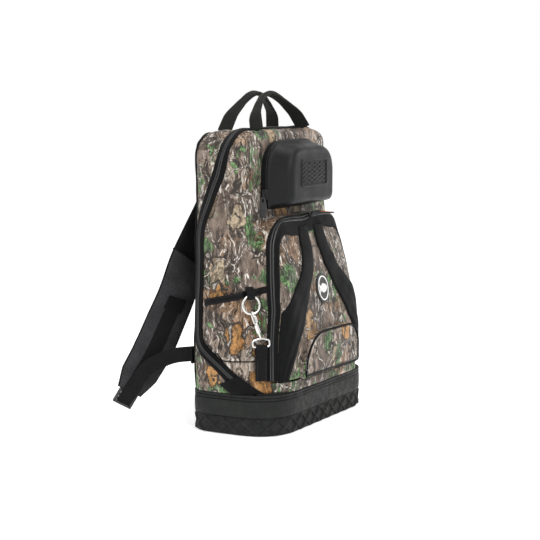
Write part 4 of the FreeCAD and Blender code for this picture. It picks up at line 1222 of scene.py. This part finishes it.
def band(name, path, wide, thick, body, material, count=28, power=6.0, crown=0.0, more_lift=None,
         flip=False, **more):
    """Band along a path: wide and thick are its half width and half thickness at each point."""
    u, v = section(count, power)
    swell = 1 + crown * (1 - u[None] ** 2)
    grid = path[:, None] + wide[:, None] * u[None, :, None]
    grid = grid + thick[:, None] * (v * swell)[..., None]
    if more_lift is not None:
        grid = grid + unit(thick)[:, None] * (more_lift(grid) * v[None])[..., None]
    rows = len(path)
    faces = grid_faces(rows, count, True).tolist()
    faces += [list(range(count))[::-1], [(rows - 1) * count + i for i in range(count)]]
    reach = np.linalg.norm(wide, axis=1)[:, None] * u[None]
    uv = np.stack(np.broadcast_arrays(reach, run_lengths(path)[:, None]), -1).reshape(-1, 2)
    obj = make_mesh(name, grid.reshape(-1, 3), faces, body, material, uv=uv, **more)
    if flip:
        obj.data.flip_normals()
    return obj


def turn_axes(run, flat):
    """Unit across and up vectors square to the run."""
    run = unit(run)
    wide = unit(flat - run * (flat * run).sum(1)[:, None])
    return wide, np.cross(run, wide)


def make_handles():
    line = smooth_curve([(-84.6, -6.5, 0), (-72, 22, 40), (-43.5, 42.9, 50), (0, 68, 60),
                         (43.5, 42.9, 50), (72, 22, 40), (84.6, -6.5, 0)], 1.5)
    inward = outward_of(np.gradient(line, axis=0))
    centre = line + inward * 2.0
    half = np.interp(line[:, 1], (0, 16, 30, 46, 70), (12.5, 12.2, 10.2, 7.0, 6.4))[:, None]
    deep = np.interp(line[:, 1], (0, 30, 50, 70), (1.5, 1.7, 3.2, 3.6))[:, None]
    for name, body, foot, lean in (("rear_handle", "rear_body", 63.0, 12.5),
                                   ("front_handle", "front_panel", 5.5, -22.0)):
        a = math.radians(lean)
        base = np.array([0, foot, TOP + 1.1 + 12.5 * math.sin(abs(a))])

        def leaning(flat):
            """Vectors drawn upright in XZ, leaned back by the angle."""
            return vectors(flat[:, 0], flat[:, 1] * -math.sin(a), flat[:, 1] * math.cos(a))

        path = base + leaning(centre)
        wide = half * [0, math.cos(a), math.sin(a)]
        up = leaning(-inward)
        pieces = [band(name + "_webbing", path, wide, up * deep, None, GRIP, 32, 5.0,
                       slot="handle_webbing", node=name)]
        for sign in (-1, 1):
            edge = path + wide * (sign * 0.82) + up * (deep + 0.05)
            pieces.append(dashes("%s_stitch_%d" % (name, sign + 1), edge, up, None))
        for piece in pieces:
            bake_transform(piece)


# The left strap's middle line, with its turn in degrees and its share of the full width at each
# point.
STRAP = np.array(((-70, 88, 421), (-78, 96, 372), (-92, 110, 320), (-106, 123.5, 270),
                  (-118, 136, 215), (-130, 151, 170), (-142, 169, 121), (-152, 191, 78),
                  (-158, 208, 48)), float)
STRAP_TURN = (0, 4, 14, 26, 36, 43, 48, 51, 53.0)
STRAP_SHARE = (0.86, 0.96, 1, 1, 1, 1, 1, 0.94, 0.62)
SEAM_Z, SEAM_SLOPE = 272, 0.6  # where the strap's cloth ends and its spacer mesh begins
WEB_HALF = 12.5  # half width of the strap's webbing


def strap_frame(count=150):
    """The left strap's path, its across and up vectors, and the place along STRAP."""
    path = catmull(STRAP, count)
    place = np.linspace(0, 8, count)
    angle = np.radians(np.interp(place, range(9), STRAP_TURN))
    flat = vectors(np.cos(angle), -np.sin(angle), 0)
    return path, *turn_axes(np.gradient(path, axis=0), flat), place


def make_straps():
    path, wide, up, place = strap_frame()
    half = 32.5 * np.interp(place, range(9), STRAP_SHARE)[:, None]
    deep = np.interp(place, (0, 0.4, 7.2, 8), (4.6, 6.4, 6.4, 3.0))
    deep = (deep * (1 + 0.05 * np.sin(place * 9.0)))[:, None]
    begin = np.searchsorted(place, 4.1)
    low_part, patch_part = slice(begin, None), slice(begin, begin + 10)
    for side, name in ((1, "left"), (-1, "right")):
        flip = np.array([side, 1, 1])  # mirrors the left strap for the right one
        body = "strap_" + name

        def wrinkle(p):
            q = p * flip
            return 0.5 * ripple(q, 60, 5.0) + 0.35 * ripple(q * np.array([1, 1, 2.2]), 26, 1.0)

        pad = band("strap_pad_cloth_" + name, path * flip, wide * flip * half, up * flip * deep,
                   body, [STRAP_CLOTH, PAD], 56, 3.2, 0.12, wrinkle, slot="strap_fabric",
                   node="strap_pad_" + name)
        paint(pad, path, wide, flip, name)
        if side < 0:
            pad.data.flip_normals()
        for sign in (-1, 1):
            edge = (path + wide * (half * sign)) * flip
            tube("strap_binding_%s_%d" % (name, sign + 1), edge, 1.9, body, WEB, 10, slot="webbing")
        line = path[low_part] + up[low_part] * (deep[low_part] * 1.12 + 0.9)
        band("strap_web_" + name, line * flip, wide[low_part] * flip * WEB_HALF,
             up[low_part] * flip * 0.8, body, WEB, 20, flip=side < 0, slot="webbing")
        band("strap_patch_" + name, (line[:10] + up[patch_part] * 0.8) * flip,
             wide[patch_part] * flip * 16, up[patch_part] * flip * 0.8, body, BLACK, 20,
             flip=side < 0, slot="black_fabric")
        make_lower_webbing(path, wide, up, flip, name)


def paint(pad, path, wide, flip, name):
    """Spacer mesh below a slanted seam, cloth above it, and a cord along the seam."""
    def above_seam(points, line, across):
        return points[..., 2] + ((points - line) * across).sum(-1) * SEAM_SLOPE - SEAM_Z

    mesh = pad.data
    centres = np.zeros(len(mesh.polygons) * 3)
    mesh.polygons.foreach_get("center", centres)
    centres = centres.reshape(-1, 3) * MM * flip
    near = np.argmin(((centres[:, None] - path[None, ::4]) ** 2).sum(-1), 1)
    low = above_seam(centres, path[::4][near], wide[::4][near]) < 0
    mesh.polygons.foreach_set("material_index", low.astype(np.int32))
    points = np.zeros(len(mesh.vertices) * 3)
    mesh.vertices.foreach_get("co", points)
    points = points.reshape(len(path), -1, 3) * MM * flip
    above = above_seam(points, path[:, None], wide[:, None])
    seam = []
    for column in range(points.shape[1]):
        row = int(np.argmax(above[:, column] < 0))
        share = above[row - 1, column] / (above[row - 1, column] - above[row, column])
        seam.append(points[row - 1, column] * (1 - share) + points[row, column] * share)
    tube("strap_seam_" + name, np.array(seam) * flip, 2.0, "strap_" + name, WEB, 10, closed=True,
         slot="webbing")


def make_lower_webbing(path, wide, up, flip, name):
    """Webbing from the strap's ladder lock back to its sewn anchor on the bag."""
    run = unit(path[-1] - path[-2])
    start = path[-1] + run * 14 + up[-1] * 5.2
    points = np.array([start + run * 9 - up[-1] * 1.5, start, start + run * -26 + up[-1] * 9,
                       (-166, 166, 92), (-156, 126, 114), (-148, 88.5, 121), (-147.5, 84.8, 121.4)])
    count = 70
    line = catmull(points, count)
    # The webbing turns from lying flat on the strap to standing upright at the anchor.
    share = np.clip(np.linspace(0, 6, count) - 1, 0, 1.6)[:, None] / 1.6
    upright = np.array([0, 0, np.sign(wide[-1][2] + 1e-6)])
    across, out = turn_axes(np.gradient(line, axis=0), wide[-1] * (1 - share) + upright * share)
    web = band("lower_web_" + name, line * flip, across * flip * WEB_HALF, out * flip * 0.9, None,
               WEB, 20, flip=flip[0] < 0, slot="webbing", node="lower_webbing_" + name)
    start, end = points[-1] * flip / MM, points[2] * flip / MM
    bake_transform(web)


# ---------------------------------------------------------------- pads on the back

def cushion(name, outline, y, thick, body, material, node, power=3.0, channels=0.0,
            slot="mesh_pad"):
    """Stuffed pad on the back, outline in the front view, thick outwards along +Y."""
    outline = closed_outline(outline, 220)
    centre = outline.mean(0)
    rings = []
    for k in np.concatenate([[1.0], 1 - np.geomspace(0.004, 0.98, 40)]):
        x, z = (centre + (outline - centre) * k).T
        lift = thick * (1 - k ** (power * 2)) ** 0.5
        if channels:
            groove = (((z - centre[1]) / channels + 0.5) % 1 - 0.5) * channels / 3.2
            lift = lift * (1 - 0.42 * np.exp(-groove ** 2))
        rings.append(vectors(x, y + lift, z))
    obj = ring_mesh(name, rings, body, material, flip=True, slot=slot, node=node)
    tube(name + "_piping", vectors(outline[:, 0], y + 1.2, outline[:, 1]), 1.5, body, BLACK, 10,
         closed=True, slot="black_fabric")


def make_back():
    near = box_mm("back_pad_left")[0][1] - 0.3
    pad_thick = 9.6
    for side, name in ((1, "left"), (-1, "right")):
        outline = [(-116 * side, 136, 22), (-24 * side, 136, 22), (-24 * side, 326, 22),
                   (-103 * side, 326, 26)][::side]
        cushion("back_cushion_" + name, outline, near, pad_thick, "rear_body", PAD,
                "back_pad_" + name, channels=38.0)
        anchor = [(-162 * side, 108, 3), (-136 * side, 110, 3), (-136 * side, 131, 3),
                  (-162 * side, 134, 3)][::side]
        cushion("anchor_patch_" + name, anchor, near, 3.2, "rear_body", WEB, "lower_anchor_" + name,
                8.0, slot="webbing")
    cushion("lumbar_cushion", [(-102, 75, 18), (102, 75, 18), (109, 126, 18), (-109, 126, 18)],
            near, pad_thick, "rear_body", PAD, "lumbar_pad")
    cushion("yoke_patch", [(-112, 407, 12), (112, 407, 12), (98, 458, 14), (-98, 458, 14)], near,
            15.5, "rear_body", BLACK, "strap_yoke", 5.0, slot="black_fabric")


def make_inner_pocket():
    low, high = box_mm("inner_pocket")
    path = smooth_curve([(low[0], high[1], 0), (low[0], low[1], 10), (high[0], low[1], 10),
                         (high[0], high[1], 0)], 3.0)
    rows = np.linspace(low[2], high[2], 50)[:, None]
    sag = np.clip(1 - (path[:, 0] / 120) ** 2, 0, 1) * ease((rows - low[2]) / 60)
    grid = vectors(path[:, 0], path[:, 1] + 0.8 * sag * np.sin(rows * 0.06), rows)
    sheet_mesh("inner_pocket_cloth", grid, "rear_body", LINING, 1.6, slot="lining",
               node="inner_pocket")
    tube("inner_pocket_binding", grid[-1] + np.array([0, 0.6, 0]), 1.8, "rear_body", WEB, 8,
         slot="webbing")


def make_piping():
    """Cord round the back panel's edge: up the right side, over the top and down the left."""
    def edge(z, direction):
        return solve(bag_distance, vectors(0, PANEL_EDGE - 0.5, z), direction,
                     lambda p: bag_surface(p) + 0.8, 330)

    angle = np.radians(np.linspace(-14, 194, 260))
    line = edge(np.full(len(angle), 300.0), vectors(np.cos(angle), 0, np.sin(angle)))
    right = edge(np.arange(70, line[0, 2], 3.0), np.array([1.0, 0, 0]))
    left = right * np.array([-1, 1, 1])
    tube("back_piping", np.concatenate([right, line, left[::-1]]), 1.8, "rear_body", BLACK, 10,
         slot="black_fabric")


# ---------------------------------------------------------------- hook chain and small parts

TAB_TURN = math.radians(-38.2)


def tab_place(p, origin):
    """From the tab's own axes (along X, out along -Y) to the bag's."""
    c, s = math.cos(TAB_TURN), math.sin(TAB_TURN)
    x, y = p[..., 0] * c - p[..., 1] * s, p[..., 0] * s + p[..., 1] * c
    return np.stack([x + origin[0], y + origin[1], p[..., 2] + origin[2]], -1)


def folded(name, profile_, half, thick, origin, body, node):
    """Webbing folded along a profile drawn in its own YZ plane."""
    local = vectors(0, profile_[:, 0], profile_[:, 1])
    across, out = turn_axes(np.gradient(local, axis=0), np.tile([1.0, 0, 0], (len(local), 1)))
    zero = np.zeros(3)
    band(name, tab_place(local, origin), tab_place(across * half, zero),
         tab_place(out * thick, zero), body, WEB, 20, slot="webbing", node=node)


def make_webbing_loops():
    c, s = math.cos(TAB_TURN), math.sin(TAB_TURN)
    origin = np.array([-157.6 - 6 * c, -33.2 - 6 * s, 0])
    tab = smooth_curve([(5.6, 240.4, 0), (1.0, 238.6, 3), (-5.2, 231.0, 4), (-5.2, 221.2, 3.6),
                        (2.6, 221.2, 0)], 0.7)
    folded("hook_tab_webbing", tab, 7.0, 0.65, origin, "front_panel", "hook_tab")
    low, high = box_mm("tape_strap")
    origin = np.array([(low[0] + high[0]) / 2, (low[1] + high[1]) / 2, high[2] - 3.1])
    loop = smooth_curve([(0.85, -56, 0), (0.85, -16, 9), (2.55, -9, 9), (2.55, 2.55, 2.4),
                         (-2.55, 2.55, 2.4), (-2.55, -9, 9), (-0.85, -16, 9), (-0.85, -56, 0)], 0.8)
    folded("tape_strap_webbing", loop, 9.8, 0.7, origin, "tape_strap", "tape_strap")
    z = np.arange(-54, -18, 1.0)
    facing = tab_place(np.tile([0, -1.0, 0], (len(z), 1)), np.zeros(3))
    for x in (-7.2, 7.2):
        dashes("tape_stitch_%d" % (x > 0), tab_place(vectors(x, -1.6, z), origin), facing,
               "tape_strap")


def make_pull_accent():
    """Bright strip on top of the pocket's flat pull."""
    low, high = box_mm("pocket_pull")
    along = 0 if high[0] - low[0] > high[1] - low[1] else 1
    count = 24
    t = np.linspace(-0.62, 0.45, count)
    path = np.tile((low + high) / 2, (count, 1))
    path[:, along] += t * (high[along] - low[along]) / 2
    path[:, 2] = high[2] + 0.15
    wide = np.zeros((count, 3))
    wide[:, 1 - along] = 2.1 * np.sqrt(np.clip(1 - ((t + 0.085) / 0.56) ** 4, 0.05, 1))
    thick = np.tile([0, 0, 0.3], (count, 1))
    band("pocket_pull_accent", path, wide, thick, "pocket_pull", ORANGE, 12)


def finish_cad():
    """Materials of the CAD nodes that stay."""
    for material, names in (
            (BOARD, ("base_board", "back_board")),
            (PLASTIC, ("ladder_lock_left", "ladder_lock_right")),
            (NICKEL, ("ring", "snap_hook", "hook_thumb", "swivel_eye")),
            (METAL, ("main_slider_1", "main_slider_2", "case_slider", "pocket_slider")),
            (PULL, ("main_pull_1", "main_pull_2", "case_pull", "pocket_pull"))):
        for name in names:
            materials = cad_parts[name].data.materials
            materials.clear()
            materials.append(material)


for make in (make_bag, make_main_zip, make_pocket, make_swooshes, make_badge, make_arch,
             make_side_pockets, make_band_tails, make_zip_ends, make_base, make_shade_skirt, make_case,
             make_handles, make_straps, make_back, make_inner_pocket, make_piping,
             make_webbing_loops, make_pull_accent, finish_cad):
    make()


# ---------------------------------------------------------------- stage, light and camera

def make_stage():
    white = (1.0, 1.0, 1.0)
    floor = Mat("floor", rough=0.9)
    tone = floor.mix(floor.noise(floor.place, 3, 2), (0.88, 0.88, 0.88), (0.91, 0.91, 0.91))
    floor.set(Base_Color=tone, Emission_Color=white, Emission_Strength=0.5)
    mesh = bpy.data.meshes.new("floor")
    corners = [(x * 6, y * 6, -0.0005) for x, y in ((-1, -1), (1, -1), (1, 1), (-1, 1))]
    mesh.from_pydata(corners, [], [(0, 1, 2, 3)])
    ground = bpy.data.objects.new("floor", mesh)
    mesh.materials.append(floor.material)
    bpy.context.scene.collection.objects.link(ground)
    bpy.context.scene.view_settings.view_transform = "Standard"
    world = bpy.data.worlds.new("studio")
    bpy.context.scene.world = world
    world.use_nodes = True
    tree = world.node_tree
    # The studio's light fades from full near the horizon to less than half overhead.
    coords = tree.nodes.new("ShaderNodeTexCoord")
    split = tree.nodes.new("ShaderNodeSeparateXYZ")
    tree.links.new(coords.outputs["Generated"], split.inputs[0])
    fade = tree.nodes.new("ShaderNodeMapRange")
    for name, value in (("From Min", 0.25), ("From Max", 0.75), ("To Min", 1.0), ("To Max", 0.45)):
        fade.inputs[name].default_value = value
    tree.links.new(split.outputs[2], fade.inputs[0])
    tree.links.new(fade.outputs[0], tree.nodes["Background"].inputs[1])
    tree.nodes["Background"].inputs[0].default_value = (*white, 1.0)

    def aim(obj, location, back):
        """Places an object that looks against the vector back."""
        obj.location = location
        obj.rotation_mode = "QUATERNION"
        obj.rotation_quaternion = (-back).to_track_quat("-Z", "Y")
        bpy.context.scene.collection.objects.link(obj)

    target = Vector((0, 0, 0.25))
    for name, place, size, power in (("key", (-1.6, -2.2, 2.4), 1.3, 62.0),
                                     ("fill", (-2.6, 0.9, 1.2), 1.6, 14.0),
                                     ("top", (0.3, -0.2, 3.0), 1.8, 30.0),
                                     ("right", (2.4, -1.8, 1.4), 1.2, 14.0)):
        light = bpy.data.lights.new(name, "AREA")
        light.size = size
        light.energy = power
        aim(bpy.data.objects.new(name, light), place, Vector(place) - target)
    data = bpy.data.cameras.new("camera")
    data.lens = 100.0
    data.sensor_width = 36.0
    data.clip_start = 0.05
    data.clip_end = 50
    camera = bpy.data.objects.new("camera", data)
    azimuth, height = math.radians(-61.088), math.radians(6.978)
    level = math.cos(height)
    back = Vector((math.sin(azimuth) * level, -math.cos(azimuth) * level, math.sin(height)))
    aim(camera, (-2.22225, -1.20356, 0.55876), back)
    bpy.context.scene.camera = camera


make_stage()
